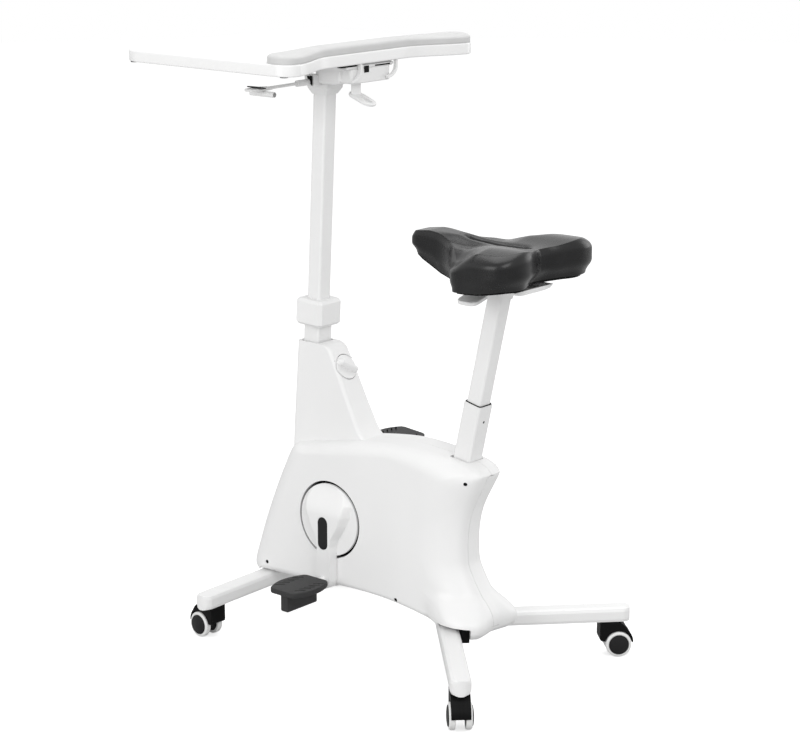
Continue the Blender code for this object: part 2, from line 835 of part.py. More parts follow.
def housing_half(side, wall, low_x, name, finish):
    """Half of the housing, or its hollow where wall is given: from the outline to the flank."""
    outline = closed_outline([HOUSING_FRONT, HOUSING_TOP, HOUSING_REAR, HOUSING_BOTTOM], EDGE_COUNTS)
    panel = closed_outline([PANEL_FRONT, PANEL_TOP, PANEL_REAR, PANEL_BOTTOM], EDGE_COUNTS)
    if wall:
        outline = inset(outline, wall)
        panel = panel + (outline.mean(axis=0) - panel) * 0.004
    full = SHELL_HALF_WIDTH - wall
    rims = np.minimum(rim_widths(), full - 0.004)
    rings = [np.column_stack([np.full(len(outline), low_x), outline])]
    for turn in np.linspace(0, math.pi / 2, 5):
        spread = rims + (full - rims) * math.sin(turn)
        spot = outline + (panel - outline) * (1 - math.cos(turn))
        rings.append(np.column_stack([spread, spot]))
    rings = [ring * (side, 1, 1) for ring in rings]
    return make_object(name, *skin(rings), finish)


def neck_rear_y(z):
    """The neck's sloping rear face at a height."""
    return NECK_SHOULDER_Y + (NECK_SHOULDER_Z - z) * NECK_SLOPE


def neck_section(z, wall, low_x):
    """Half of the neck's plan at a height: straight flanks and round corners."""
    front = NECK_FRONT_Y + (z - NECK_FRONT_Z) * NECK_FRONT_SLOPE + wall
    rear = neck_rear_y(z)
    if z > NECK_SHOULDER_Z:
        share = (z - NECK_SHOULDER_Z) / (NECK_TOP_Z - NECK_SHOULDER_Z)
        rear = NECK_SHOULDER_Y - NECK_SHOULDER_DEPTH * (1 - math.sqrt(max(0.0, 1 - share**2)))
    elif z < NECK_KNEE_Z:
        drop = min(1.0, (NECK_KNEE_Z - z) / NECK_KNEE_HEIGHT)
        flare = NECK_KNEE_FLARE * (1 - math.sqrt(1 - drop**2))
        rear = neck_rear_y(NECK_KNEE_Z) + flare + NECK_SLOPE * (NECK_KNEE_Z - z) * (1 - drop)
    rear -= wall
    widths = [NECK_FOOT_HALF_WIDTH, NECK_TOP_HALF_WIDTH]
    half = np.interp(z, [NECK_TAPER_FOOT_Z, NECK_TOP_Z], widths) - wall
    corner = NECK_CORNER - wall
    points = [(low_x, front)]
    for turn in np.linspace(0, math.pi / 2, 4):
        across, along = corner * math.sin(turn), corner * math.cos(turn)
        points.append((half - corner + across, front + corner - along))
    for turn in np.linspace(0, math.pi / 2, 4):
        across, along = corner * math.cos(turn), corner * math.sin(turn)
        points.append((half - corner + across, rear - corner + along))
    points.append((low_x, rear))
    return np.array(points)


def neck_half(side, wall, low_x, name, finish):
    """Half of the neck that rises round the column, as a stack of plan sections."""
    knee = [NECK_KNEE_Z - drop for drop in (0.024, 0.022, 0.017, 0.009, 0.0)]
    shoulder = [NECK_SHOULDER_Z + rise for rise in (0.0, 0.012, 0.021)]
    middle = (NECK_KNEE_Z + NECK_SHOULDER_Z) / 2
    rings = []
    for z in [NECK_FOOT_Z, *knee, middle, *shoulder, NECK_TOP_Z - 0.0005]:
        place = z - wall if z > NECK_SHOULDER_Z else z
        rings.append(lift(neck_section(z, wall, low_x), 2, place) * (side, 1, 1))
    return make_object(name, *skin(rings), finish)


def leg_clearance(apex_y, sweep, side, finish):
    """The space that a leg needs where it passes below the housing."""
    start, along, across = leg_frame(apex_y, sweep, side)
    half = LEG_WIDTH / 2 + SHELL_GAP
    inward, outward = -LEG_WIDTH, 3 * SHELL_HALF_WIDTH
    corners = [(inward, -half), (outward, -half), (outward, half), (inward, half)]
    plan = np.array([start + along * run + across * off for run, off in corners])
    top = CASTER_HEIGHT + LEG_HEIGHT + SHELL_GAP
    return prism("leg_space", plan, 2, CASTER_HEIGHT - LEG_HEIGHT, top, finish)


def square_hole(size, low, high, finish, parent):
    """The hole for a square tube, with the shell's gap round it."""
    outline = rounded_rectangle(size + 2 * SHELL_GAP, size + 2 * SHELL_GAP, TUBE_CORNER)
    return prism("tube_hole", outline, 2, low, high, finish, parent)


def riser_space(start, end, finish):
    """The space that one of the beam's risers needs."""
    half = BEAM_WIDTH / 2 + SHELL_GAP
    low = (-half, start - SHELL_GAP, CASTER_HEIGHT)
    high = (half, end + SHELL_GAP, (BEAM_UNDERSIDE_Z + BEAM_TOP_Z) / 2)
    return box("riser_space", low, high, finish)


def make_shell(name, side, finish, axes):
    """One half shell with its neck, hollowed out and opened for what passes through it."""
    shell = housing_half(side, 0.0, SEAT_GAP / 2, name, finish)
    join(shell, neck_half(side, 0.0, SEAT_GAP / 2, "neck", finish))
    cut(shell, housing_half(side, SHELL_WALL, -0.01, "hollow", finish))
    cut(shell, neck_half(side, SHELL_WALL, -0.01, "neck_hollow", finish))
    low, high = sorted((side * SHELL_HALF_WIDTH * 0.7, side * SHELL_HALF_WIDTH * 1.4))
    opening = circle(CRANK_OPENING_RADIUS, 30) + (CRANK_Y, CRANK_Z)
    cut(shell, prism("opening", opening, 0, low, high, finish))
    low, high = column_run(NECK_TOP_Z - HOLE_REACH), column_run(NECK_TOP_Z + HOLE_REACH)
    cut(shell, square_hole(LOWER_COLUMN_SIZE, low, high, finish, axes["column"]))
    low, high = seat_run(HOUSING_CROWN_Z - HOLE_REACH), seat_run(HOUSING_CROWN_Z + HOLE_REACH)
    cut(shell, square_hole(SEAT_TUBE_SIZE, low, high, finish, axes["seat"]))
    dial_hole = circle(DIAL_OPENING_RADIUS, 22)
    cut(shell, prism("dial_hole", dial_hole, 2, -0.008, 0.012, finish, axes["dial"]))
    cut(shell, rear_band(side, finish))
    cut(shell, leg_clearance(REAR_LEG_APEX_Y, REAR_LEG_SWEEP, side, finish))
    cut(shell, leg_clearance(FRONT_LEG_APEX_Y, FRONT_LEG_SWEEP, side, finish))
    cut(shell, riser_space(BEAM_FRONT_Y, BEAM_FRONT_Y + FRONT_RISER_LENGTH, finish))
    return cut(shell, riser_space(*rear_riser(), finish))


def rear_curve():
    """The housing's rear edge without its ends, with the outward direction at each point."""
    curve = smooth_curve(HOUSING_REAR, REAR_COUNT)[1:-1]
    ahead = np.gradient(curve, axis=0)
    normal = np.column_stack([-ahead[:, 1], ahead[:, 0]])
    return curve, normal / np.linalg.norm(normal, axis=1)[:, None]


def rear_band(side, finish):
    """The space in a half shell that the rear cover fills."""
    curve, normal = rear_curve()
    outline = np.vstack([curve + normal * 0.03, (curve - normal * 0.012)[::-1]])
    low, high = sorted((-side * 0.01, side * (REAR_COVER_HALF_WIDTH + SEAT_GAP)))
    return prism("rear_band", outline, 0, low, high, finish)


def make_rear_cover(finish):
    """Curved strip that closes the housing's back and swells into a toe over the legs."""
    curve, normal = rear_curve()
    run = np.linspace(0, 1, len(curve))
    bulge = COVER_BULGE + TOE_BULGE * np.exp(-(((run - TOE_MIDDLE) / TOE_SPREAD) ** 2))
    outer, inner = [], []
    for across in np.linspace(-1, 1, 5):
        reach = bulge * math.sqrt(max(0.0, 1 - across**2))
        x = np.full(len(curve), across * REAR_COVER_HALF_WIDTH)
        outer.append(np.column_stack([x, curve + normal * reach[:, None]]))
        inner.append(np.column_stack([x, curve + normal * (reach - SHELL_WALL)[:, None]]))
    rings = np.stack(outer + inner[::-1], axis=1)
    return make_object("rear_cover", *skin(list(rings)), finish)


# Crank drive


def arm_outline():
    """The crank cover: the disc's upper half, flared sides and a round lower end."""
    radius = CRANK_DISC_RADIUS - 0.0015
    start = 0.10
    turns = np.linspace(-start, math.pi + start, 15)
    top = [(radius * math.cos(t), radius * math.sin(t)) for t in turns]
    flare = []
    for z in np.linspace(-0.018, -0.080, 6):
        spread = (radius * math.cos(start) - ARM_HALF_WIDTH) * (1 - ease((-z - 0.002) / 0.085)) ** 2.2
        flare.append((-ARM_HALF_WIDTH - spread, z))
    turns = np.linspace(math.pi, 2 * math.pi, 7)
    end = [(ARM_HALF_WIDTH * math.cos(t), ARM_HALF_WIDTH * math.sin(t) - CRANK_LENGTH) for t in turns]
    right = [(-y, z) for y, z in flare[::-1]]
    return np.array(top + flare + end + right)


def make_crank(name, side, finish, parent):
    """Disc, boss, flared arm and pedal spindle of one crank, with the cap's recess."""
    face, back = CRANK_DISC_FACE_X, CRANK_DISC_FACE_X - CRANK_DISC_THICKNESS
    arm_back = ARM_FACE_X - ARM_THICKNESS
    spindle_end = ARM_FACE_X + PEDAL_GAP_TO_ARM + PEDAL_LENGTH - SPINDLE_INSET
    crank = prism(name, circle(CRANK_DISC_RADIUS, 30), 0, back, face, finish, parent, edge=0.001)
    spindle = circle(SPINDLE_RADIUS, 10) + (0, -CRANK_LENGTH)
    join(crank, prism("arm", arm_outline(), 0, arm_back, ARM_FACE_X, finish, parent, edge=ARM_EDGE))
    join(crank, prism("post", circle(0.030, 14), 0, face - 0.002, arm_back + 0.004, finish, parent))
    join(crank, prism("boss", circle(0.018, 14), 0, BOSS_END_X, back + 0.002, finish, parent))
    join(crank, prism("spindle", spindle, 0, ARM_FACE_X - 0.004, spindle_end, finish, parent, edge=0.001))
    recess = stadium(CAP_WIDTH + 2 * SEAT_GAP, CAP_LENGTH + 2 * SEAT_GAP) + (0, CAP_MIDDLE_Z)
    cut(crank, prism("recess", recess, 0, ARM_FACE_X - CAP_DEPTH, ARM_FACE_X + 0.01, finish, parent))
    bore = circle(AXLE_RADIUS + SEAT_GAP, 14)
    cut(crank, prism("bore", bore, 0, BEARING_HALF_LENGTH, AXLE_HALF_LENGTH + SEAT_GAP, finish, parent))
    return place_side(crank, side)


def place_side(obj, side):
    """Leave a left piece as built, or carry it to the right by half a turn and a mirror."""
    if side < 0:
        obj.data.transform(Matrix.Scale(-1, 4))
        tidy_mesh(obj.data)
    return obj


def make_cap(name, side, finish, parent):
    outline = stadium(CAP_WIDTH, CAP_LENGTH) + (0, CAP_MIDDLE_Z)
    low = ARM_FACE_X - CAP_DEPTH + SEAT_GAP
    cap = prism(name, outline, 0, low, ARM_FACE_X + 0.0004, finish, parent, edge=0.0006)
    return place_side(cap, side)


def pedal_outline():
    """Plan of a pedal plate: straight ends and bowed long sides, from the arm outwards."""
    places = np.linspace(0, 1, 9)
    bow = PEDAL_END_HALF_WIDTH + (PEDAL_HALF_WIDTH - PEDAL_END_HALF_WIDTH) * np.sin(math.pi * places) ** 0.8
    bow[0] = bow[-1] = PEDAL_END_HALF_WIDTH - 0.004
    x = places * PEDAL_LENGTH
    x[1], x[-2] = x[1] * 0.45, PEDAL_LENGTH - x[1] * 0.45
    bow[1] = bow[-2] = PEDAL_END_HALF_WIDTH + 0.004
    return np.vstack([np.column_stack([x, -bow]), np.column_stack([x, bow])[::-1]])


def make_pedal(name, side, finish, parent):
    """Tread plate with its weighted keel below, bored for the spindle."""
    start = PEDAL_GAP_TO_ARM
    plan = pedal_outline() + (start, 0)
    plate = prism(name, plan, 2, -0.001, PEDAL_THICKNESS, finish, parent, edge=0.0015)
    middle = start + PEDAL_LENGTH * 0.35 + PEDAL_DROP_LENGTH * 0.15
    keel = rounded_rectangle(PEDAL_DROP_LENGTH, PEDAL_DROP_THICKNESS, 0.004) + (middle, 0)
    join(plate, prism("keel", keel, 2, -PEDAL_DROP, 0.004, finish, parent, edge=0.003))
    reach = start + PEDAL_LENGTH - SPINDLE_INSET + SHELL_GAP
    cut(plate, prism("bore", circle(SPINDLE_RADIUS + RUNNING_GAP, 10), 0, 0.0, reach, finish, parent))
    if side < 0:
        plate.data.transform(Matrix.Scale(-1, 4, (1, 0, 0)))
        tidy_mesh(plate.data)
    return plate


def make_bearing_shell(finish):
    """Tube for the crank axle on a foot that stands on the beam."""
    turns = np.linspace(-0.5, math.pi + 0.5, 11)
    head = [(CRANK_Y + BEARING_RADIUS * math.cos(t), CRANK_Z + BEARING_RADIUS * math.sin(t)) for t in turns]
    foot = BEAM_TOP_Z + SEAT_GAP
    outline = np.array(head + [(CRANK_Y - 0.030, foot), (CRANK_Y + 0.030, foot)])
    shell = prism("crank_bearing_shell", outline, 0, -BEARING_HALF_LENGTH, BEARING_HALF_LENGTH, finish)
    bore = prism("bore", circle(AXLE_RADIUS + RUNNING_GAP, 14) + (CRANK_Y, CRANK_Z), 0, -0.1, 0.1, finish)
    return cut(shell, bore)


def make_pulley(finish, parent):
    """Grooved drive pulley with lightening holes round its hub."""
    half = PULLEY_THICKNESS / 2
    section = [
        (AXLE_RADIUS + SEAT_GAP, PULLEY_X - half),
        (PULLEY_RADIUS, PULLEY_X - half),
        (PULLEY_RADIUS - GROOVE_DEPTH, PULLEY_X - half + 0.002),
        (PULLEY_RADIUS - GROOVE_DEPTH, PULLEY_X + half - 0.002),
        (PULLEY_RADIUS, PULLEY_X + half),
        (AXLE_RADIUS + SEAT_GAP, PULLEY_X + half),
    ]
    pulley = turned_ring("drive_pulley", section, finish, parent, count=30)
    for k in range(5):
        turn = 2 * math.pi * k / 5
        spot = (0.052 * math.cos(turn), 0.052 * math.sin(turn))
        cut(pulley, prism("window", circle(0.017, 10) + spot, 0, PULLEY_X - 0.02, PULLEY_X + 0.02, finish, parent))
    return pulley


def make_flywheel(finish, parent):
    """Rim, web and hub turned in one, pressed on its axle."""
    rim, web = FLYWHEEL_RIM_WIDTH / 2, FLYWHEEL_WEB / 2
    inner = FLYWHEEL_RADIUS - FLYWHEEL_RIM_DEPTH
    hub = FORK_X - 0.001
    bore = AXLE_RADIUS + SEAT_GAP
    section = [
        (bore, -hub), (FLYWHEEL_HUB_RADIUS, -hub), (FLYWHEEL_HUB_RADIUS, -web), (inner, -web), (inner, -rim),
        (FLYWHEEL_RADIUS, -rim), (FLYWHEEL_RADIUS, rim), (inner, rim), (inner, web), (FLYWHEEL_HUB_RADIUS, web),
        (FLYWHEEL_HUB_RADIUS, hub), (bore, hub),
    ]
    return turned_ring("flywheel", section, finish, parent, count=30)


def make_flywheel_axle(finish, parent):
    """Axle that turns in the fork, with the small grooved pulley at its driven end."""
    half = PULLEY_THICKNESS / 2
    far = PULLEY_X - half - 0.003
    profile = [
        (0, far), (AXLE_RADIUS, far), (AXLE_RADIUS, PULLEY_X - half), (SMALL_PULLEY_RADIUS, PULLEY_X - half),
        (SMALL_PULLEY_RADIUS - GROOVE_DEPTH, PULLEY_X - half + 0.002),
        (SMALL_PULLEY_RADIUS - GROOVE_DEPTH, PULLEY_X + half - 0.002),
        (SMALL_PULLEY_RADIUS, PULLEY_X + half), (AXLE_RADIUS, PULLEY_X + half), (AXLE_RADIUS, 0.032), (0, 0.032),
    ]
    return turned("flywheel_axle", profile, finish, parent, count=14)


def belt_loop(extra):
    """Outline of the belt round both pulleys, at a distance outside the grooves."""
    big = PULLEY_RADIUS - GROOVE_DEPTH + SEAT_GAP + extra
    small = SMALL_PULLEY_RADIUS - GROOVE_DEPTH + SEAT_GAP + extra
    start, end = np.array([CRANK_Y, CRANK_Z]), np.array([FLYWHEEL_Y, FLYWHEEL_Z])
    span = end - start
    heading = math.atan2(span[1], span[0])
    lean = math.acos((big - small) / np.linalg.norm(span))
    small_turns = np.linspace(heading - lean, heading + lean, 12)
    big_turns = np.linspace(heading + lean, heading + 2 * math.pi - lean, 33)
    ends = [end + small * np.array([math.cos(t), math.sin(t)]) for t in small_turns]
    starts = [start + big * np.array([math.cos(t), math.sin(t)]) for t in big_turns]
    return np.array(ends + starts)


def make_belt(finish):
    half = PULLEY_THICKNESS / 2 - 0.0025
    inner, outer = belt_loop(0.0), belt_loop(BELT_THICKNESS)
    low, high = PULLEY_X - half, PULLEY_X + half
    rings = [lift(outer, 0, low), lift(outer, 0, high), lift(inner, 0, high), lift(inner, 0, low)]
    return make_object("drive_belt", *skin(rings, closed=True), finish)


def brake_lug():
    """The cable lug at the magnet carrier's top, from the brake's pivot."""
    centre = np.array([FLYWHEEL_Y - BRAKE_PIVOT_Y, FLYWHEEL_Z - BRAKE_PIVOT_Z])
    inner = FLYWHEEL_RADIUS + BRAKE_GAP
    turn = math.radians(BRAKE_ARC_END)
    direction = np.array([math.cos(turn), math.sin(turn)])
    top = centre + (inner + BRAKE_THICKNESS) * direction
    foot = centre + inner * direction
    return [(top[0] - 0.020, top[1] + 0.001), (top[0] - 0.020, top[1] + 0.006), (foot[0], foot[1] + 0.003)]


def make_brake(finish, parent):
    """Magnet carrier: an arc over the flywheel's front, a lug and a barrel on its pin."""
    inner = FLYWHEEL_RADIUS + BRAKE_GAP
    outer = inner + BRAKE_THICKNESS
    centre = np.array([FLYWHEEL_Y - BRAKE_PIVOT_Y, FLYWHEEL_Z - BRAKE_PIVOT_Z])
    turns = np.radians(np.linspace(BRAKE_ARC_START, BRAKE_ARC_END, 13))
    arc_out = [centre + outer * np.array([math.cos(t), math.sin(t)]) for t in turns]
    arc_in = [centre + inner * np.array([math.cos(t), math.sin(t)]) for t in turns[::-1]]
    turns = np.linspace(0.3, -math.pi - 0.1, 9)
    barrel = [(BRAKE_BARREL_RADIUS * math.cos(t), BRAKE_BARREL_RADIUS * math.sin(t)) for t in turns]
    outline = np.array(barrel + arc_out + brake_lug() + arc_in)
    half = BRAKE_HALF_WIDTH
    bracket = prism("magnet_bracket", outline, 0, -half, half, finish, parent)
    bore = circle(BRAKE_PIN_RADIUS + SEAT_GAP, 12)
    return cut(bracket, prism("bore", bore, 0, -2 * half, 2 * half, finish, parent))


def make_brake_cable(finish):
    """Cable from the back of the dial down the neck to above the magnet carrier's lug."""
    tilt = math.atan(NECK_SLOPE)
    back = DIAL_STUB_LENGTH + 0.0011
    start = np.array([neck_rear_y(DIAL_Z) - back * math.cos(tilt), DIAL_Z - back * math.sin(tilt)])
    lug = brake_lug()[1]
    end = np.array([BRAKE_PIVOT_Y + lug[0] + 0.002, BRAKE_PIVOT_Z + lug[1] + RUNNING_GAP])
    from_start = [(0.0, 0.0), (-0.0058, -0.0038), (-0.0118, -0.0183), (-0.0128, -0.0683), (0.0132, -0.1383)]
    to_end = [(-0.018, 0.0344), (-0.0015, 0.0174), (0.0, 0.0)]
    places = [start + step for step in from_start] + [end + step for step in to_end]
    route = smooth_curve([(0, y, z) for y, z in places], 15)
    return bent_rod("brake_cable", route, CABLE_RADIUS, finish, count=8)


def make_dial(finish, parent):
    """Round plate with a raised grip bar across it and a stub behind."""
    face = DIAL_THICKNESS - DIAL_BACK
    dial = prism("resistance_dial", circle(DIAL_RADIUS, 22), 2, -DIAL_BACK, face, finish, parent, edge=0.001)
    plan = rounded_rectangle(DIAL_GRIP_WIDTH, DIAL_GRIP_LENGTH, DIAL_GRIP_WIDTH / 2 - 0.001)
    grip = prism("grip", plan, 2, 0.0, DIAL_GRIP_HEIGHT, finish, parent, edge=0.002)
    grip.rotation_euler = (0, 0, DIAL_GRIP_TURN)
    join(dial, grip)
    stub = prism("stub", circle(DIAL_STUB_RADIUS, 12), 2, -DIAL_STUB_LENGTH, -0.002, finish, parent)
    return join(dial, stub)


# Desk


def desk_near_edge(x, margin=0.0):
    """The desk's rider-side edge: full depth at the corners and a shallow recess between."""
    ramp = ease((DESK_RECESS_END - np.abs(x)) / (DESK_RECESS_END - DESK_RECESS_FLAT))
    return DESK_NEAR_Y - margin - DESK_RECESS_DEPTH * ramp


def desk_outline(margin=0.0):
    """Plan of the desk top, moved inwards by a margin."""
    half, far, near = DESK_HALF_WIDTH - margin, DESK_FAR_Y + margin, DESK_NEAR_Y - margin
    radius = DESK_FAR_CORNER - margin
    far_corner = [
        (radius * math.cos(t) + half - radius, far + radius - radius * math.sin(t))
        for t in np.linspace(math.pi / 2, 0, 6)
    ]
    radius = DESK_NEAR_CORNER - margin
    near_corner = [
        (radius * math.cos(t) + half - radius, near - radius + radius * math.sin(t))
        for t in np.linspace(0, math.pi / 2, 7)
    ]
    xs = np.linspace(half - radius, radius - half, 25)[1:-1]
    middle = [(x, float(desk_near_edge(x, margin))) for x in xs]
    right = far_corner + near_corner
    left = [(-x, y) for x, y in right[::-1]]
    return np.array(right + middle + left)


def make_desktop(finish):
    """Board with eased edges and a shallow rebate that seats the wrist rest."""
    top, foot = DESK_TOP_Z, DESK_TOP_Z - DESK_THICKNESS
    outline, small = desk_outline(), desk_outline(DESK_EDGE)
    levels = [(small, foot), (outline, foot + DESK_EDGE), (outline, top - DESK_EDGE), (small, top)]
    board = make_object("desktop", *skin([lift(plan, 2, z) for plan, z in levels]), finish)
    reach = DESK_HALF_WIDTH + DESK_THICKNESS
    low = (-reach, REST_FAR_Y - SEAT_GAP, top - REST_REBATE)
    high = (reach, DESK_NEAR_Y + DESK_THICKNESS, top + DESK_THICKNESS)
    return cut(board, box("rebate", low, high, finish))


def rest_outline(margin=0.0):
    """Plan of the wrist rest: straight far side, near side along the desk's edge."""
    half = DESK_HALF_WIDTH - REST_INSET - margin
    xs = half * np.sin(np.linspace(math.pi / 2, -math.pi / 2, 29))
    bend = ease((np.abs(xs) - REST_FAR_FLAT) / (REST_FAR_END - REST_FAR_FLAT))
    far = REST_FAR_Y + REST_END_DEPTH * bend + margin
    slope = margin * (1 + 1.3 * ease((np.abs(xs) - 0.10) / 0.12))
    near = desk_near_edge(xs, REST_INSET + slope)
    near_corner = DESK_NEAR_CORNER - REST_INSET - slope[0]
    sides = []
    for edge, radius, way in ((near, near_corner, -1), (far, REST_FAR_CORNER - margin, 1)):
        past = ((np.abs(xs) - (half - radius)) / radius).clip(0, 1)
        sides.append(np.column_stack([xs, edge + way * radius * (1 - np.sqrt(1 - past**2))]))
    return np.vstack([sides[0], sides[1][::-1]])


def make_wrist_rest(finish):
    """Padded strip with a crowned top, seated in the desk's rebate."""
    foot = DESK_TOP_Z - REST_REBATE + SEAT_GAP
    height = REST_THICKNESS + REST_REBATE - SEAT_GAP
    shares = [(0.0, 0.0), (0.0, 0.52), (0.0012, 0.72), (0.0040, 0.88), (0.0085, 0.97), (0.0140, 1.0)]
    steps = [(margin, share * height) for margin, share in shares]
    rings = [lift(rest_outline(margin), 2, foot + rise) for margin, rise in steps]
    return make_object("wrist_rest", *skin(rings), finish)


def head_plan(shrink, near_y):
    """Plan of the head's housing: round about the column, straight sides to the near face."""
    half = HEAD_HALF_WIDTH - shrink
    corner = HEAD_CORNER
    turns = np.linspace(math.pi, 2 * math.pi, 15)
    far = [(half * math.cos(t), HEAD_BOWL_Y + half * math.sin(t)) for t in turns]
    near = []
    for turn in np.linspace(0, math.pi / 2, 4):
        across, along = corner * math.cos(turn), corner * math.sin(turn)
        near.append((half - corner + across, near_y - corner + along))
    mirrored = [(-x, y) for x, y in near[::-1]]
    return np.array(far + near + mirrored)


def make_head(finish, axes):
    """Socket that flares off the column, the bowl and box above it and the lift lever's lug."""
    flange_z = HEAD_FOOT_Z + HEAD_FLANGE_RISE
    levels = [
        (HEAD_FOOT_Z, HEAD_FOOT_SIZE),
        (flange_z, HEAD_FLANGE_SIZE),
        (HEAD_UNDERSIDE_Z + 0.004, HEAD_FLANGE_SIZE),
    ]
    rings = [lift(rounded_rectangle(size, size, 0.004, steps=1) + (0, column_y(z)), 2, z) for z, size in levels]
    head = make_object("desk_head", *skin(rings), finish)
    rings = []
    for turn in np.linspace(0, math.pi / 2, 5):
        back = HEAD_ROUNDING * (1 - math.sin(turn))
        z = HEAD_UNDERSIDE_Z + HEAD_ROUNDING * (1 - math.cos(turn))
        rings.append(lift(head_plan(0.25 * back, HEAD_BOWL_NEAR_Y - back), 2, z))
    rings.append(lift(head_plan(0.0, HEAD_BOWL_NEAR_Y), 2, HEAD_TOP_Z))
    join(head, make_object("bowl", *skin(rings), finish))
    plan = rounded_rectangle(BOX_HIGH_X - BOX_LOW_X, BOX_NEAR_Y - BOX_FAR_Y, HEAD_CORNER)
    plan = plan + ((BOX_HIGH_X + BOX_LOW_X) / 2, (BOX_NEAR_Y + BOX_FAR_Y) / 2)
    join(head, prism("near_box", plan, 2, HEAD_TOP_Z - BOX_DEPTH, HEAD_TOP_Z, finish, edge=BOX_EDGE))
    low = (HEAD_HALF_WIDTH - 0.012, LIFT_PIVOT_Y - LIFT_LUG_HALF_LENGTH, LIFT_PIVOT_Z - 0.007)
    high = (LIFT_LUG_X, LIFT_PIVOT_Y + LIFT_LUG_HALF_LENGTH, LIFT_PIVOT_Z + 0.014)
    join(head, box("lug", low, high, finish))
    size = UPPER_COLUMN_SIZE + 2 * SEAT_GAP
    socket = rounded_rectangle(size, size, TUBE_CORNER)
    top = column_run(UPPER_COLUMN_TOP_Z) + SEAT_GAP
    foot = column_run(HEAD_FOOT_Z - HEAD_FOOT_SIZE)
    return cut(head, prism("socket", socket, 2, foot, top, finish, axes["column"]))


def make_slide_plate(finish):
    """Flat plate on the head that the desk's rail slides along."""
    foot = HEAD_TOP_Z + SEAT_GAP
    low = (SLIDE_MIDDLE_X - SLIDE_HALF_WIDTH, SLIDE_FAR_Y, foot)
    high = (SLIDE_MIDDLE_X + SLIDE_HALF_WIDTH, BOX_NEAR_Y, foot + SLIDE_THICKNESS)
    return box("slide_plate", low, high, finish)


def make_rail(finish):
    """Channel under the desk that wraps the slide plate's sides, with a gusset on each side."""
    top = DESK_TOP_Z - DESK_THICKNESS - SEAT_GAP
    plate_low = HEAD_TOP_Z
    plate_top = HEAD_TOP_Z + SLIDE_THICKNESS + 2 * SEAT_GAP
    inner = SLIDE_HALF_WIDTH + SEAT_GAP
    outer, tip = inner + RAIL_WALL, SLIDE_HALF_WIDTH - RAIL_LIP
    foot = plate_low - RAIL_WALL
    right = [(outer, top), (outer, foot), (tip, foot), (tip, plate_low), (inner, plate_low), (inner, plate_top)]
    outline = np.array(right + [(-x, z) for x, z in right[::-1]]) + (SLIDE_MIDDLE_X, 0)
    rail = prism("desk_rail", outline, 1, RAIL_NEAR_Y, RAIL_FAR_Y, finish)
    low, high = GUSSET_Y - RAIL_WALL / 2, GUSSET_Y + RAIL_WALL / 2
    for side in (1, -1):
        start, end = outer - 0.001, outer + GUSSET_REACH
        shape = [(start, top), (end, top), (end, top - GUSSET_DEPTH + GUSSET_TAPER), (start, top - GUSSET_DEPTH)]
        shape = np.array([(side * x + SLIDE_MIDDLE_X, z) for x, z in shape])
        join(rail, prism("gusset", shape, 1, low, high, finish))
    return rail


def make_hook(name, x, finish):
    """Flat hook under the desk's near edge, bent sideways into an open lip."""
    top = DESK_TOP_Z - DESK_THICKNESS - SEAT_GAP
    steps = [(0.0, 0.0), (0.0, 0.014), (0.004, 0.022), (0.013, 0.029), (0.027, 0.0325)]
    path = smooth_curve([(x + step, top - drop) for step, drop in steps], 11)
    ahead = np.gradient(path, axis=0)
    ahead /= np.linalg.norm(ahead, axis=1)[:, None]
    normal = np.column_stack([-ahead[:, 1], ahead[:, 0]]) * HOOK_HALF_THICKNESS
    normal[0] = (HOOK_HALF_THICKNESS, 0)
    outline = np.vstack([path + normal, (path - normal)[::-1]])
    return prism(name, outline, 1, HOOK_NEAR_Y - HOOK_WIDTH, HOOK_NEAR_Y, finish)


def make_lift_lever(finish, parent):
    """Barrel, rod, thumb plate and finger bar of the height lever, along local X."""
    start = LIFT_LUG_X - LIFT_PIVOT_X + 0.0008
    end = start + LIFT_BARREL_LENGTH
    middle = LIFT_PLATE_X - 0.002
    lever = prism("lift_lever", circle(LIFT_BARREL_RADIUS, 14), 0, start, end, finish, parent, edge=0.0008)
    join(lever, rod("arm", (end - 0.006, 0, 0), (LIFT_PLATE_X - 0.013, 0, -0.001), LIFT_ROD_RADIUS, finish, parent, 8))
    plate = stadium(LIFT_PLATE_WIDTH, LIFT_PLATE_LENGTH, steps=7)[:, ::-1] + (LIFT_PLATE_X, -0.010)
    join(lever, prism("plate", plate, 2, -0.0045, 0.0, finish, parent, edge=0.0015))
    join(lever, prism("stalk", circle(0.004, 8) + (middle, -0.006), 2, -LIFT_BAR_DROP, -0.002, finish, parent))
    bar = circle(LIFT_BAR_RADIUS, 12) + (middle, -LIFT_BAR_DROP)
    return join(lever, prism("bar", bar, 1, -0.034, 0.030, finish, parent, edge=0.001))


def make_release_lever(finish, parent):
    """Hanging strap with an oval finger loop that points to the rider."""
    strap = rounded_rectangle(RELEASE_WIDTH, RELEASE_THICKNESS, 0.002, steps=1)
    lever = prism("release_lever", strap, 2, -RELEASE_DROP, 0.0, finish, parent)
    outline = stadium(LOOP_WIDTH, LOOP_LENGTH, steps=8)
    loop = prism("loop", outline, 2, -0.003, 0.003, finish, parent, edge=0.0012)
    hole = stadium(0.013, 0.032, steps=5) + (0, 0.009)
    cut(loop, prism("hole", hole, 2, -0.02, 0.02, finish, parent))
    loop.location = (0, LOOP_REACH, -RELEASE_DROP - 0.005)
    loop.rotation_euler = (LOOP_TILT, 0, 0)
    return join(lever, loop)


# Saddle


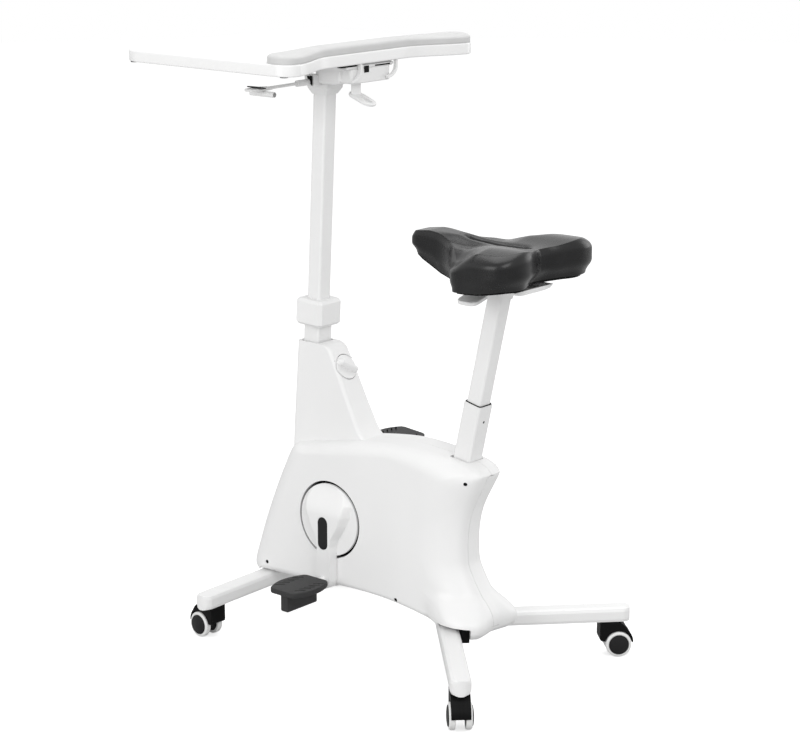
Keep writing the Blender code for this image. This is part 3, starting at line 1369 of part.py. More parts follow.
SADDLE_RIM = [
    (0.0, 0.092),
    (0.012, 0.096),
    (0.020, 0.109),
    (0.023, 0.138),
    (0.029, 0.168),
    (0.048, 0.214),
    (0.092, 0.260),
    (0.141, 0.291),
    (0.147, 0.335),
    (0.143, 0.376),
    (0.129, 0.401),
    (0.105, 0.413),
    (0.080, 0.413),
    (0.046, 0.396),
    (0.020, 0.379),
    (0.0, 0.374),
]
SADDLE_BELLY = [
    (0.0, 0.084),
    (0.016, 0.087),
    (0.025, 0.103),
    (0.028, 0.140),
    (0.035, 0.178),
    (0.056, 0.214),
    (0.098, 0.252),
    (0.141, 0.287),
    (0.150, 0.335),
    (0.150, 0.382),
    (0.138, 0.409),
    (0.111, 0.423),
    (0.080, 0.424),
    (0.046, 0.411),
    (0.020, 0.396),
    (0.0, 0.390),
]


def saddle_plan(points):
    """Closed plan of the saddle, from the nose round its left side and back."""
    half = smooth_curve(points, 30)
    half[0, 0] = half[-1, 0] = 0.0
    return np.vstack([half, (half[1:-1] * (-1, 1))[::-1]])


def saddle_spine(plan):
    """The points on the middle line that the plan's points close in on."""
    return np.column_stack([np.zeros(len(plan)), np.clip(plan[:, 1], 0.112, 0.352)])


def saddle_underside(y):
    """Height of the lower rim: it drops behind the nose and rises again to the back."""
    steps = [0.084, 0.092, 0.130, 0.165, 0.200, 0.293, 0.350, 0.400]
    return np.interp(y, steps, [0.854, 0.845, 0.828, 0.814, 0.808, 0.808, 0.812, 0.820])


def saddle_crown(x, y):
    """Height of the saddle's top: a raised nose, two broad lobes and a channel between."""
    steps = [0.084, 0.100, 0.135, 0.195, 0.240, 0.300, 0.380]
    spine = np.interp(y, steps, [0.872, 0.885, 0.8895, 0.888, 0.883, 0.878, 0.879])
    lobes = 0.012 * np.exp(-(((np.abs(x) - 0.088) / 0.052) ** 2)) * ease((y - 0.22) / 0.11)
    wings = 0.020 * ease((0.345 - y) / 0.060) * ease((np.abs(x) - 0.06) / 0.06)
    channel = 0.008 * np.exp(-((x / 0.010) ** 2)) * ease((y - 0.215) / 0.03) * ease((0.372 - y) / 0.03)
    return spine + lobes - wings - channel


SADDLE_STEPS = [
    (1.0, 0.28),
    (1.0, 0.55),
    (0.992, 0.74),
    (0.972, 0.89),
    (0.935, 0.97),
    (0.86, 1.0),
    (0.62, 1.0),
    (0.36, 1.0),
    (0.14, 1.0),
    (0.0, 1.0),
]


def saddle_rings():
    """Rings from the lower rim up the walls and over the crown to the spine."""
    rim = saddle_plan(SADDLE_RIM)
    belly = saddle_plan(SADDLE_BELLY)
    spine = saddle_spine(belly)
    rings = [np.column_stack([rim, saddle_underside(rim[:, 1])])]
    for reach, rise in SADDLE_STEPS:
        spot = spine + (belly - spine) * reach
        low = saddle_underside(spot[:, 1])
        height = saddle_crown(spot[:, 0], spot[:, 1]) - low
        rings.append(np.column_stack([spot, low + height * rise]))
    return rings


def make_cushion(finish):
    """The saddle's padded cover as one closed form with a nearly flat underside."""
    rim = saddle_plan(SADDLE_RIM)
    spine = saddle_spine(rim)
    under = []
    for reach in (0.0, 0.5, 0.93):
        spot = spine + (rim - spine) * reach
        under.append(np.column_stack([spot, saddle_underside(spot[:, 1])]))
    return make_object("saddle_cushion", *skin(under + saddle_rings()), finish)


def make_saddle_base(finish):
    """Moulded pan below the cushion, following its underside."""
    plan = saddle_plan(SADDLE_RIM)
    spine = saddle_spine(plan)
    rings = []
    for reach, drop in ((0.0, 0.0), (0.5, 0.0), (0.93, 0.0), (0.93, 1.0), (0.5, 1.0), (0.0, 1.0)):
        spot = spine + (plan - spine) * reach
        z = saddle_underside(spot[:, 1]) - SEAT_GAP - drop * SADDLE_BASE_THICKNESS
        rings.append(np.column_stack([spot, z]))
    return make_object("saddle_base", *skin(rings), finish)


def make_saddle_bracket(finish, axes):
    """Shallow folded tray under the saddle's pan, with a square socket for the post."""
    top, sheet = SADDLE_BRACKET_TOP_Z, SADDLE_BRACKET_SHEET
    half, low = SADDLE_BRACKET_HALF_WIDTH, SADDLE_BRACKET_TOP_Z - SADDLE_BRACKET_DEPTH
    right = [(0.55 * half, low), (0.85 * half, low + 0.002), (half, top)]
    outline = np.array([(-x, z) for x, z in right[::-1]] + right)
    bracket = prism("saddle_bracket", outline, 1, SADDLE_BRACKET_FAR_Y, SADDLE_BRACKET_NEAR_Y, finish)
    far, near = SADDLE_BRACKET_FAR_Y + sheet, SADDLE_BRACKET_NEAR_Y - sheet
    cut(bracket, box("inside", (-0.8 * half, far, low + sheet), (0.8 * half, near, top + sheet), finish))
    size = SEAT_POST_SIZE + 2 * SEAT_GAP
    outer = rounded_rectangle(size + 2 * sheet, size + 2 * sheet, TUBE_CORNER + sheet)
    foot = seat_run(low - SADDLE_COLLAR_DROP)
    join(bracket, prism("collar", outer, 2, foot, seat_run(low + sheet), finish, axes["seat"]))
    hole = rounded_rectangle(size, size, TUBE_CORNER)
    post_top = seat_run(SEAT_POST_TOP_Z) + SEAT_GAP
    return cut(bracket, prism("socket", hole, 2, foot - 0.02, post_top, finish, axes["seat"]))


def make_seat_lever(finish, parent):
    """Paddle under the saddle's left side that frees the seat post."""
    lever = prism("seat_lever", circle(0.005, 12), 1, -0.010, 0.010, finish, parent)
    outline = rounded_rectangle(PADDLE_LENGTH, PADDLE_WIDTH, 0.014, steps=4) + (PADDLE_LENGTH / 2 + 0.001, 0)
    paddle = prism("paddle", outline, 2, -0.004, 0.004, finish, parent, edge=0.0015)
    paddle.rotation_euler = (0, SEAT_LEVER_TILT, 0)
    return join(lever, paddle)


# Casters


def hood_outline():
    """Side view of a caster hood: upright stem side, flat top, a fender and a web to the axle."""
    top, trail, axle = CASTER_HEIGHT - SEAT_GAP, CASTER_TRAIL, WHEEL_RADIUS
    stem_side = [(-0.0075, top), (-0.009, top - 0.0015), (-0.009, 0.0405), (-0.0075, 0.0360), (-0.003, 0.0335)]
    web = [(0.012, 0.031), (trail - 0.009, axle + 0.001), (trail - 0.007, axle - 0.006), (trail, axle - 0.009)]
    rise = [(trail + 0.007, axle - 0.006), (trail + 0.009, axle + 0.001), (trail + 0.020, 0.031)]
    fender = [(trail + 0.0305, 0.0300), (trail + 0.0312, 0.0360), (trail + 0.0285, 0.0465)]
    crown = [(trail + 0.0210, 0.0580), (trail + 0.0100, 0.0675), (trail - 0.003, top)]
    return np.array(stem_side + web + rise + fender + crown)


def make_hood(name, finish, parent):
    """Caster hood with a central web, two wheel wells, the axle's bore and the stem."""
    axle = (CASTER_TRAIL, WHEEL_RADIUS)
    hood = prism(name, hood_outline(), 1, -HOOD_WIDTH / 2, HOOD_WIDTH / 2, finish, parent, edge=HOOD_EDGE)
    for side in (-1, 1):
        low, high = sorted((side * HOOD_WEB / 2, side * HOOD_WIDTH))
        well = circle(WHEEL_RADIUS + WELL_GAP, 20) + axle
        cut(hood, prism("well", well, 1, low, high, finish, parent))
    bore = circle(CASTER_AXLE_RADIUS + RUNNING_GAP, 12) + axle
    cut(hood, prism("bore", bore, 1, -HOOD_WIDTH, HOOD_WIDTH, finish, parent))
    low, high = CASTER_HEIGHT - 0.006, CASTER_HEIGHT + STEM_LENGTH
    return join(hood, prism("stem", circle(STEM_RADIUS, 12), 2, low, high, finish, parent, edge=0.001))


def make_hubs(name, finish, parent):
    """Both hub discs of a caster's wheels, on their axle."""
    start, end = WHEEL_INNER_X + 0.0005, WHEEL_INNER_X + WHEEL_TREAD
    half = [
        (CASTER_AXLE_RADIUS, start),
        (HUB_RADIUS, start),
        (HUB_RADIUS, end + 0.0008),
        (HUB_RADIUS - 0.004, end + HUB_BULGE),
        (0.0, end + HUB_BULGE + 0.0006),
    ]
    mirrored = [(radius, -place) for radius, place in half[::-1]]
    return turned(name, mirrored + half, finish, parent, count=16, axis=1)


def make_tyre(name, side, finish, parent):
    """One tyre ring with a rounded tread."""
    start, end = WHEEL_INNER_X, WHEEL_INNER_X + WHEEL_TREAD
    inner = HUB_RADIUS + SEAT_GAP
    section = [
        (inner, start),
        (WHEEL_RADIUS - 0.0015, start),
        (WHEEL_RADIUS, start + 0.002),
        (WHEEL_RADIUS, end - 0.003),
        (WHEEL_RADIUS - 0.002, end),
        (inner, end),
    ]
    section = [(radius, side * place) for radius, place in section]
    return turned_ring(name, section, finish, parent, count=22, axis=1)


def make_caster(name, stem, heading, finishes):
    """A caster on its swivel axis: local X is the way it trails, local Y its axle."""
    swivel = make_axis(name + "_swivel_axis", (stem[0], stem[1], 0.0), Matrix.Rotation(heading, 4, "Z"))
    axle = make_axis(name + "_axle_axis", (CASTER_TRAIL, 0.0, WHEEL_RADIUS), parent=swivel)
    make_hood(name + "_hood", finishes["black_plastic"], swivel)
    make_hubs(name + "_hubs", finishes["black_plastic"], axle)
    make_tyre(name + "_tyre_a", -1, finishes["white_tyre"], axle)
    make_tyre(name + "_tyre_b", 1, finishes["white_tyre"], axle)


# Whole machine


def make_axes():
    """The empties on the axes that pieces slide along or turn about."""
    dial_turn = tilt_matrix(math.pi / 2 - math.atan(NECK_SLOPE))
    release_z = HEAD_TOP_Z - BOX_DEPTH - RUNNING_GAP
    seat_lever = (SEAT_LEVER_X, SEAT_LEVER_Y, SADDLE_BRACKET_TOP_Z - SEAT_LEVER_DROP)
    return {
        "column": make_axis("column_axis", (0, COLUMN_FOOT_Y, BEAM_TOP_Z), tilt_matrix(COLUMN_TILT)),
        "seat": make_axis("seat_axis", (0, SEAT_FOOT_Y, BEAM_TOP_Z), tilt_matrix(SEAT_TILT)),
        "crank": make_axis("crank_axis", (0, CRANK_Y, CRANK_Z)),
        "flywheel": make_axis("flywheel_axis", (0, FLYWHEEL_Y, FLYWHEEL_Z)),
        "brake": make_axis("brake_axis", (0, BRAKE_PIVOT_Y, BRAKE_PIVOT_Z)),
        "dial": make_axis("dial_axis", (0, neck_rear_y(DIAL_Z), DIAL_Z), dial_turn),
        "left_pedal": make_axis("left_pedal_axis", (ARM_FACE_X, CRANK_Y, CRANK_Z - CRANK_LENGTH)),
        "right_pedal": make_axis("right_pedal_axis", (-ARM_FACE_X, CRANK_Y, CRANK_Z + CRANK_LENGTH)),
        "lift_lever": make_axis("lift_lever_axis", (LIFT_PIVOT_X, LIFT_PIVOT_Y, LIFT_PIVOT_Z)),
        "release_lever": make_axis("release_lever_axis", (0.0, RELEASE_Y, release_z)),
        "seat_lever": make_axis("seat_lever_axis", seat_lever),
    }


def make_frame(finishes, axes):
    white = finishes["white_metal"]
    make_beam(white)
    make_front_bar(white)
    make_rear_leg("rear_left_leg", 1, white)
    make_rear_leg("rear_right_leg", -1, white)
    top = column_run(LOWER_COLUMN_TOP_Z)
    square_tube("lower_column", LOWER_COLUMN_SIZE, LOWER_COLUMN_WALL, 0.0015, top, white, axes["column"])
    top = seat_run(SEAT_TUBE_TOP_Z)
    square_tube("seat_tube", SEAT_TUBE_SIZE, SEAT_TUBE_WALL, SEAT_GAP, top, white, axes["seat"])
    make_collar(finishes["white_plastic"], axes["column"])


def make_housing(finishes, axes):
    plastic = finishes["white_plastic"]
    make_shell("left_shell", 1, plastic, axes)
    make_shell("right_shell", -1, plastic, axes)
    make_rear_cover(plastic)


def make_drive(finishes, axes):
    crank, flywheel = axes["crank"], axes["flywheel"]
    make_bearing_shell(finishes["white_metal"])
    reach = AXLE_HALF_LENGTH
    profile = [(0, -reach), (AXLE_RADIUS, -reach), (AXLE_RADIUS, reach), (0, reach)]
    turned("crank_axle", profile, finishes["steel"], crank, count=14)
    make_pulley(finishes["black_plastic"], crank)
    for side, word in ((1, "left"), (-1, "right")):
        make_crank(f"{word}_crank", side, finishes["white_plastic"], crank)
        make_cap(f"{word}_crank_cap", side, finishes["black_plastic"], crank)
        make_pedal(f"{word}_pedal", side, finishes["grey_plastic"], axes[f"{word}_pedal"])
    make_flywheel(finishes["cast_iron"], flywheel)
    make_flywheel_axle(finishes["steel"], flywheel)
    make_belt(finishes["belt_rubber"])
    make_brake(finishes["steel"], axes["brake"])
    make_brake_cable(finishes["black_plastic"])
    make_dial(finishes["white_plastic"], axes["dial"])


def make_gas_springs(finishes, axes):
    """A cylinder fixed in each sliding post, over a rod that stands in the fixed tube."""
    outer = circle(GAS_CYLINDER_RADIUS, 16)
    inner = circle(GAS_CYLINDER_RADIUS - GAS_CYLINDER_WALL, 16)
    rod_plan = circle(GAS_ROD_RADIUS, 12)
    steel, black = finishes["steel"], finishes["black_plastic"]
    column, seat = axes["column"], axes["seat"]
    low, high = column_run(DESK_CYLINDER_FOOT_Z), column_run(UPPER_COLUMN_TOP_Z)
    hollow("desk_gas_cylinder", outer, inner, low, high, black, column)
    prism("desk_gas_rod", rod_plan, 2, SEAT_GAP, column_run(DESK_ROD_TOP_Z), steel, column)
    low, high = seat_run(SEAT_CYLINDER_FOOT_Z), seat_run(SEAT_POST_TOP_Z)
    hollow("seat_gas_cylinder", outer, inner, low, high, black, seat)
    prism("seat_gas_rod", rod_plan, 2, SEAT_GAP, seat_run(SEAT_ROD_TOP_Z), steel, seat)


def make_desk(finishes, axes):
    white = finishes["white_metal"]
    low, high = column_run(UPPER_COLUMN_FOOT_Z), column_run(UPPER_COLUMN_TOP_Z)
    square_tube("upper_column", UPPER_COLUMN_SIZE, TUBE_WALL, low, high, white, axes["column"])
    make_head(white, axes)
    make_slide_plate(white)
    make_rail(white)
    make_desktop(finishes["desk_laminate"])
    make_wrist_rest(finishes["rest_foam"])
    make_hook("left_hook", LEFT_HOOK_X, white)
    make_hook("right_hook", RIGHT_HOOK_X, white)
    make_lift_lever(white, axes["lift_lever"])
    make_release_lever(white, axes["release_lever"])


def make_saddle(finishes, axes):
    low, high = seat_run(SEAT_POST_FOOT_Z), seat_run(SEAT_POST_TOP_Z)
    square_tube("seat_post", SEAT_POST_SIZE, TUBE_WALL, low, high, finishes["white_metal"], axes["seat"])
    make_saddle_bracket(finishes["white_metal"], axes)
    make_saddle_base(finishes["black_plastic"])
    make_cushion(finishes["black_leather"])
    make_seat_lever(finishes["white_plastic"], axes["seat_lever"])


def make_casters(finishes):
    front_run = FRONT_LEG_LENGTH - FRONT_STEM_TO_TIP
    rear_run = REAR_LEG_LENGTH - REAR_STEM_TO_TIP
    for side, word in ((1, "left"), (-1, "right")):
        stem = leg_point(FRONT_LEG_APEX_Y, FRONT_LEG_SWEEP, side, front_run)
        heading = FRONT_TRAIL_HEADING if side > 0 else math.pi - FRONT_TRAIL_HEADING
        make_caster(f"front_{word}_caster", stem, heading, finishes)
        stem = leg_point(REAR_LEG_APEX_Y, REAR_LEG_SWEEP, side, rear_run)
        heading = REAR_TRAIL_HEADING if side > 0 else math.pi - REAR_TRAIL_HEADING
        make_caster(f"rear_{word}_caster", stem, heading, finishes)


def main():
    clear_scene()
    finishes = make_finishes()
    axes = make_axes()
    bpy.context.view_layer.update()
    make_frame(finishes, axes)
    make_housing(finishes, axes)
    make_drive(finishes, axes)
    make_gas_springs(finishes, axes)
    make_desk(finishes, axes)
    make_saddle(finishes, axes)
    make_casters(finishes)


main()
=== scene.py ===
"""Looks of the desk exercise bike.

Every piece is in metres, +Z up. The rider faces -Y and the rider's left is +X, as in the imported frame.
"""

import logging
import math
from dataclasses import dataclass, field
from enum import Enum
from functools import cache
from typing import Iterable, Sequence

import bmesh
import bpy
import numpy as np
from mathutils import Matrix, Vector
from mathutils.bvhtree import BVHTree


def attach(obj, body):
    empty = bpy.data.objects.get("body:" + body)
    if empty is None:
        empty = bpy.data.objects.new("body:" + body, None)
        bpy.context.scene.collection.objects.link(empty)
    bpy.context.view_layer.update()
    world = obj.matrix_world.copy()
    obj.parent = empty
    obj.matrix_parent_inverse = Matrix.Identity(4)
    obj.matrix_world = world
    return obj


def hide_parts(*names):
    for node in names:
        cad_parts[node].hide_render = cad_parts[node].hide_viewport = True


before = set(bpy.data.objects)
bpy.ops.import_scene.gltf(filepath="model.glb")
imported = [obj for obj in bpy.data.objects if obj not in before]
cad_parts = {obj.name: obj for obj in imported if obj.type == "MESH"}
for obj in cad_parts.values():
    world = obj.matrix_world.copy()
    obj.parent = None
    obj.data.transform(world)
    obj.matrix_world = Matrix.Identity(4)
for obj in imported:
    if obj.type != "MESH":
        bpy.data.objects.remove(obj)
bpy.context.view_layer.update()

LOG = logging.getLogger("desk_bike")
QUARTER = math.pi / 2
Array = np.ndarray
Mesh = bpy.types.Mesh
Colour = tuple[float, float, float]
Pair = tuple[float, float]


# Shader maths


class Signal:
    """One output of a node, with the operators that shader maths uses."""

    def __init__(self, graph: "Graph", socket: bpy.types.NodeSocket) -> None:
        """Keep the graph and the socket."""
        self.graph = graph
        self.socket = socket

    def _maths(self, operation: str, first: object, second: object) -> "Signal":
        """The result of a Math node on two values or signals."""
        return self.graph.node("ShaderNodeMath", {"operation": operation}, {0: first, 1: second})

    def __add__(self, other: object) -> "Signal":
        """self + other."""
        return self._maths("ADD", self, other)

    def __radd__(self, other: object) -> "Signal":
        """other + self."""
        return self._maths("ADD", other, self)

    def __sub__(self, other: object) -> "Signal":
        """self - other."""
        return self._maths("SUBTRACT", self, other)

    def __rsub__(self, other: object) -> "Signal":
        """other - self."""
        return self._maths("SUBTRACT", other, self)

    def __mul__(self, other: object) -> "Signal":
        """self * other."""
        return self._maths("MULTIPLY", self, other)

    def __rmul__(self, other: object) -> "Signal":
        """other * self."""
        return self._maths("MULTIPLY", other, self)

    def or_else(self, other: object) -> "Signal":
        """The greater of both."""
        return self._maths("MAXIMUM", self, other)

    def beside(self, output: str) -> "Signal":
        """Another output of the same node."""
        return Signal(self.graph, self.socket.node.outputs[output])


class Graph:
    """The nodes of one material or world."""

    def __init__(self, owner: bpy.types.Material | bpy.types.World) -> None:
        """Give a new material or world its nodes.

        Args:
            owner: the material or world.
        """
        owner.use_nodes = True
        self.owner = owner
        self.tree = owner.node_tree

    def node(self, kind: str, settings: dict, sockets: dict, output: int | str = 0) -> Signal:
        """Add one node.

        Args:
            kind: the node's type.
            settings: properties that are set before the sockets.
            sockets: input name or number to a value or a signal.
            output: the output that is returned.

        Returns:
            The chosen output.
        """
        made = self.tree.nodes.new(kind)
        for key, value in settings.items():
            setattr(made, key, value)
        for key, value in sockets.items():
            self.feed(made.inputs[key], value)
        return Signal(self, made.outputs[output])

    def feed(self, target: bpy.types.NodeSocket, value: object) -> None:
        """Link a signal to an input, or set the input's value.

        Args:
            target: the input.
            value: a signal or a plain value.
        """
        if isinstance(value, Signal):
            self.tree.links.new(value.socket, target)
        else:
            target.default_value = value

    def place(self, stretch: Sequence[float]) -> Signal:
        """Object coordinates, stretched along each axis."""
        here = self.node("ShaderNodeTexCoord", {}, {}, "Object")
        return self.node("ShaderNodeMapping", {}, {"Vector": here, "Scale": tuple(stretch)})

    def noise(self, per_metre: float, detail: float, stretch: Colour = (1, 1, 1)) -> Signal:
        """Smooth noise about 0.5, with so many lumps to a metre and so many octaves."""
        sockets = {"Vector": self.place(stretch), "Scale": per_metre, "Detail": detail}
        return self.node("ShaderNodeTexNoise", {}, sockets, "Fac")

    def cells(self, per_metre: float) -> Signal:
        """Distance inside Voronoi cells, for pebbled grain."""
        sockets = {"Vector": self.place((1, 1, 1)), "Scale": per_metre}
        return self.node("ShaderNodeTexVoronoi", {"feature": "F1"}, sockets, "Distance")

    def ramp(self, value: Signal, low: float, high: float, greys: Pair = (0.0, 1.0)) -> Signal:
        """Map a value between two places to a grey between two greys.

        Args:
            value: the signal.
            low: place of the first grey.
            high: place of the second grey.
            greys: both greys.

        Returns:
            The grey as a colour.
        """
        made = self.node("ShaderNodeValToRGB", {}, {"Fac": value}, "Color")
        for element, place, grey in zip(made.socket.node.color_ramp.elements, (low, high), greys):
            element.position = place
            element.color = (grey, grey, grey, 1.0)
        return made

    def blend(self, share: Signal, first: Colour, second: Colour) -> Signal:
        """Mix two colours by a share from 0 to 1."""
        sockets = {"Factor": share, 6: (*first, 1.0), 7: (*second, 1.0)}
        return self.node("ShaderNodeMix", {"data_type": "RGBA"}, sockets, 2)

    def bump(
        self, height: Signal, depth: float, strength: float = 1.0, under: Signal | None = None
    ) -> Signal:
        """A normal from a height.

        Args:
            height: value from 0 to 1.
            depth: metres that a height of 1 stands for.
            strength: share of the bump that is used.
            under: a normal that this one is added to.

        Returns:
            The bumped normal.
        """
        sockets = {"Height": height, "Distance": depth, "Strength": strength}
        if under is not None:
            sockets["Normal"] = under
        return self.node("ShaderNodeBump", {}, sockets)

    def fill(self, name: str, **sockets: object) -> bpy.types.Node:
        """Set sockets of a node that is there from the start, with _ for a blank in a socket's name.

        Args:
            name: the node's name.
            sockets: input name to a value or a signal.

        Returns:
            The node.
        """
        node = self.tree.nodes[name]
        for key, value in sockets.items():
            self.feed(node.inputs[key.replace("_", " ")], value)
        return node

    def shade(self, **sockets: object) -> bpy.types.Material:
        """Set the Principled shader's sockets, and return the material."""
        self.fill("Principled BSDF", **sockets)
        return self.owner


# Finishes


def dimmed(colour: Colour, share: float) -> Colour:
    """A colour at a share of its strength."""
    return tuple(share * value for value in colour)


@dataclass(frozen=True)
class Recipe:
    """What every finish has: a name, a colour and a roughness with its spread."""

    name: str
    colour: Colour
    roughness: float
    spread: float = 0.10

    def graph(self) -> Graph:
        """A new material's nodes."""
        return Graph(bpy.data.materials.new(self.name))

    def rough(self, noise: Signal) -> Signal:
        """Roughness that varies about its mean with a noise."""
        return (noise - 0.5) * self.spread + self.roughness


@dataclass(frozen=True)
class PowderCoat(Recipe):
    """Sprayed and baked paint on steel: an even white with a faint orange peel."""

    peel_per_metre: float = 620.0
    peel_depth: float = 0.00006

    def make(self) -> bpy.types.Material:
        """Build the material.

        Returns:
            The material.
        """
        graph = self.graph()
        drift = graph.ramp(graph.noise(9.0, 3.0), 0.3, 0.7)
        scuffs = graph.ramp(graph.noise(38.0, 6.0), 0.60, 0.78)
        return graph.shade(
            Base_Color=graph.blend(drift, dimmed(self.colour, 0.975), self.colour),
            Roughness=scuffs * self.spread + self.roughness,
            Normal=graph.bump(graph.noise(self.peel_per_metre, 1.5), self.peel_depth),
            Coat_Weight=0.15,
            Coat_Roughness=0.12,
        )


@dataclass(frozen=True)
class Moulding(Recipe):
    """Injection-moulded plastic: a spark-eroded grain, with a slight flow of tone."""

    grain_per_metre: float = 1500.0
    grain_depth: float = 0.00005
    tone: float = 0.97
    gloss: float = 0.5

    def make(self) -> bpy.types.Material:
        """Build the material.

        Returns:
            The material.
        """
        graph = self.graph()
        flow = graph.ramp(graph.noise(6.0, 2.0, (1.0, 1.0, 0.4)), 0.35, 0.65)
        fine = graph.bump(graph.noise(self.grain_per_metre * 0.5, 3.0), self.grain_depth)
        return graph.shade(
            Base_Color=graph.blend(flow, dimmed(self.colour, self.tone), self.colour),
            Roughness=self.rough(graph.noise(60.0, 4.0)),
            Normal=graph.bump(graph.cells(self.grain_per_metre), self.grain_depth * 0.6, 0.7, fine),
            Specular_IOR_Level=self.gloss,
            Coat_Roughness=0.2,
        )


@dataclass(frozen=True)
class Leather(Recipe):
    """Black covering of the saddle: fine pebbles between soft creases, with a low gloss."""

    worn: Colour = (0.012, 0.012, 0.0125)
    pebbles_per_metre: float = 950.0
    pebble_depth: float = 0.00004
    crease_depth: float = 0.00012

    def make(self) -> bpy.types.Material:
        """Build the material.

        Returns:
            The material.
        """
        graph = self.graph()
        joints = graph.ramp(graph.cells(self.pebbles_per_metre), 0.15, 0.75, (1.0, 0.0))
        creases = graph.noise(120.0, 5.0, (1.0, 1.6, 0.8))
        soft = graph.bump(creases, self.crease_depth, 0.25)
        use = graph.ramp(graph.noise(14.0, 3.0), 0.40, 0.75)
        return graph.shade(
            Base_Color=graph.blend(use, self.colour, self.worn),
            Roughness=(creases - 0.5) * self.spread + use * 0.06 + self.roughness,
            Normal=graph.bump(joints, self.pebble_depth, 0.6, soft),
            Specular_IOR_Level=0.36,
        )


@dataclass(frozen=True)
class SoftPad(Recipe):
    """Moulded foam of the wrist rest: a dense skin with a faint pebble."""

    pebble_depth: float = 0.00012
    dimple_depth: float = 0.00025

    def make(self) -> bpy.types.Material:
        """Build the material.

        Returns:
            The material.
        """
        graph = self.graph()
        dimples = graph.noise(260.0, 3.0)
        tone = graph.ramp(graph.noise(22.0, 4.0), 0.35, 0.70)
        broad = graph.bump(dimples, self.dimple_depth, 0.4)
        return graph.shade(
            Base_Color=graph.blend(tone, dimmed(self.colour, 0.95), self.colour),
            Roughness=self.rough(dimples),
            Normal=graph.bump(graph.cells(1100.0), self.pebble_depth, 0.6, broad),
            Sheen_Weight=0.08,
        )


@dataclass(frozen=True)
class Laminate(Recipe):
    """White board: a smooth melamine face with an almost hidden grain along the board."""

    pore_depth: float = 0.00004

    def make(self) -> bpy.types.Material:
        """Build the material.

        Returns:
            The material.
        """
        graph = self.graph()
        fibres = graph.noise(42.0, 6.0, (1.0, 9.0, 9.0))
        tone = graph.ramp(fibres, 0.35, 0.65)
        return graph.shade(
            Base_Color=graph.blend(tone, dimmed(self.colour, 0.985), self.colour),
            Roughness=self.rough(fibres),
            Normal=graph.bump(graph.noise(900.0, 2.0, (0.35, 1.0, 1.0)), self.pore_depth),
            Coat_Weight=0.12,
            Coat_Roughness=0.2,
        )


@dataclass(frozen=True)
class Tread(Recipe):
    """Hard white tread of the casters, a little dusty where it rolls."""

    dust: Colour = (0.70, 0.695, 0.68)
    grain_depth: float = 0.00006

    def make(self) -> bpy.types.Material:
        """Build the material.

        Returns:
            The material.
        """
        graph = self.graph()
        specks = graph.ramp(graph.noise(420.0, 5.0), 0.55, 0.72)
        return graph.shade(
            Base_Color=graph.blend(specks * 0.6, self.colour, self.dust),
            Roughness=specks * self.spread + self.roughness,
            Normal=graph.bump(graph.noise(1400.0, 2.0), self.grain_depth),
        )


@dataclass(frozen=True)
class Metal(Recipe):
    """Bare metal, ground along one axis or cast."""

    stretch: Colour = (0.05, 1.0, 1.0)
    lines_per_metre: float = 2500.0
    depth: float = 0.00003

    def make(self) -> bpy.types.Material:
        """Build the material.

        Returns:
            The material.
        """
        graph = self.graph()
        lines = graph.noise(self.lines_per_metre, 3.0, self.stretch)
        stain = graph.ramp(graph.noise(70.0, 4.0), 0.4, 0.8)
        return graph.shade(
            Base_Color=graph.blend(stain, self.colour, dimmed(self.colour, 0.75)),
            Metallic=1.0,
            Roughness=self.rough(lines),
            Normal=graph.bump(lines, self.depth),
        )


class Finish(Enum):
    """Each look, with the slot of the record that it stands for."""

    PAINT = "white_metal", PowderCoat("powder_coat", (0.83, 0.83, 0.828), 0.36, 0.08)
    WHITE = "white_plastic", Moulding("white_moulding", (0.84, 0.84, 0.838), 0.42)
    BLACK = "black_plastic", Moulding(
        "black_moulding", (0.004, 0.004, 0.0042), 0.50, 0.10, 1300.0, 0.00006, 0.8, 0.09
    )
    HUB = "black_plastic", Moulding(
        "hub_moulding", (0.010, 0.010, 0.0105), 0.40, 0.10, 1300.0, 0.00005, 0.8, 0.22
    )
    MARK = "white_plastic", Moulding("print_ink", (0.35, 0.35, 0.35), 0.55)
    CAP = "grey_plastic", Moulding("cap_moulding", (0.28, 0.28, 0.28), 0.55)
    GREY = "grey_plastic", Moulding(
        "grey_moulding", (0.024, 0.024, 0.0245), 0.60, 0.10, 1100.0, 0.00010, 0.88, 0.4
    )
    LEATHER = "black_leather", Leather("saddle_covering", (0.006, 0.006, 0.0065), 0.27, 0.12)
    PAD = "rest_foam", SoftPad("wrist_pad", (0.60, 0.60, 0.598), 0.62, 0.12)
    BOARD = "desk_laminate", Laminate("desk_board", (0.87, 0.87, 0.868), 0.30, 0.08)
    TREAD = "white_tyre", Tread("caster_tread", (0.80, 0.80, 0.795), 0.42, 0.15)
    STEEL = "steel", Metal("ground_steel", (0.56, 0.56, 0.57), 0.30, 0.25)
    IRON = "cast_iron", Metal("turned_iron", (0.20, 0.20, 0.21), 0.48, 0.25, (1.0, 1.0, 1.0), 900.0, 0.00006)
    BELT = "belt_rubber", Moulding("belt_rubber", (0.018, 0.018, 0.018), 0.75, 0.10, 900.0, 0.0001, 0.8)

    def __init__(self, slot: str, recipe: Recipe) -> None:
        """Keep the slot and the recipe."""
        self.slot = slot
        self.recipe = recipe


@cache
def material_of(finish: Finish) -> bpy.types.Material:
    """A finish's material, made once."""
    return finish.recipe.make()


# Surfaces


def ease(value: Array | float) -> Array | float:
    """Smooth step, 3 t^2 - 2 t^3 with t kept between 0 and 1."""
    t = np.clip(value, 0.0, 1.0)
    return t * t * (3.0 - 2.0 * t)


def step(value: Array | float, start: float, run: float) -> Array | float:
    """A smooth step from a place on, over a run, which goes backwards where it is negative."""
    return ease((value - start) / run)


def circling(turn: Array) -> Array:
    """Rows of cos t and sin t."""
    return np.column_stack([np.cos(turn), np.sin(turn)])


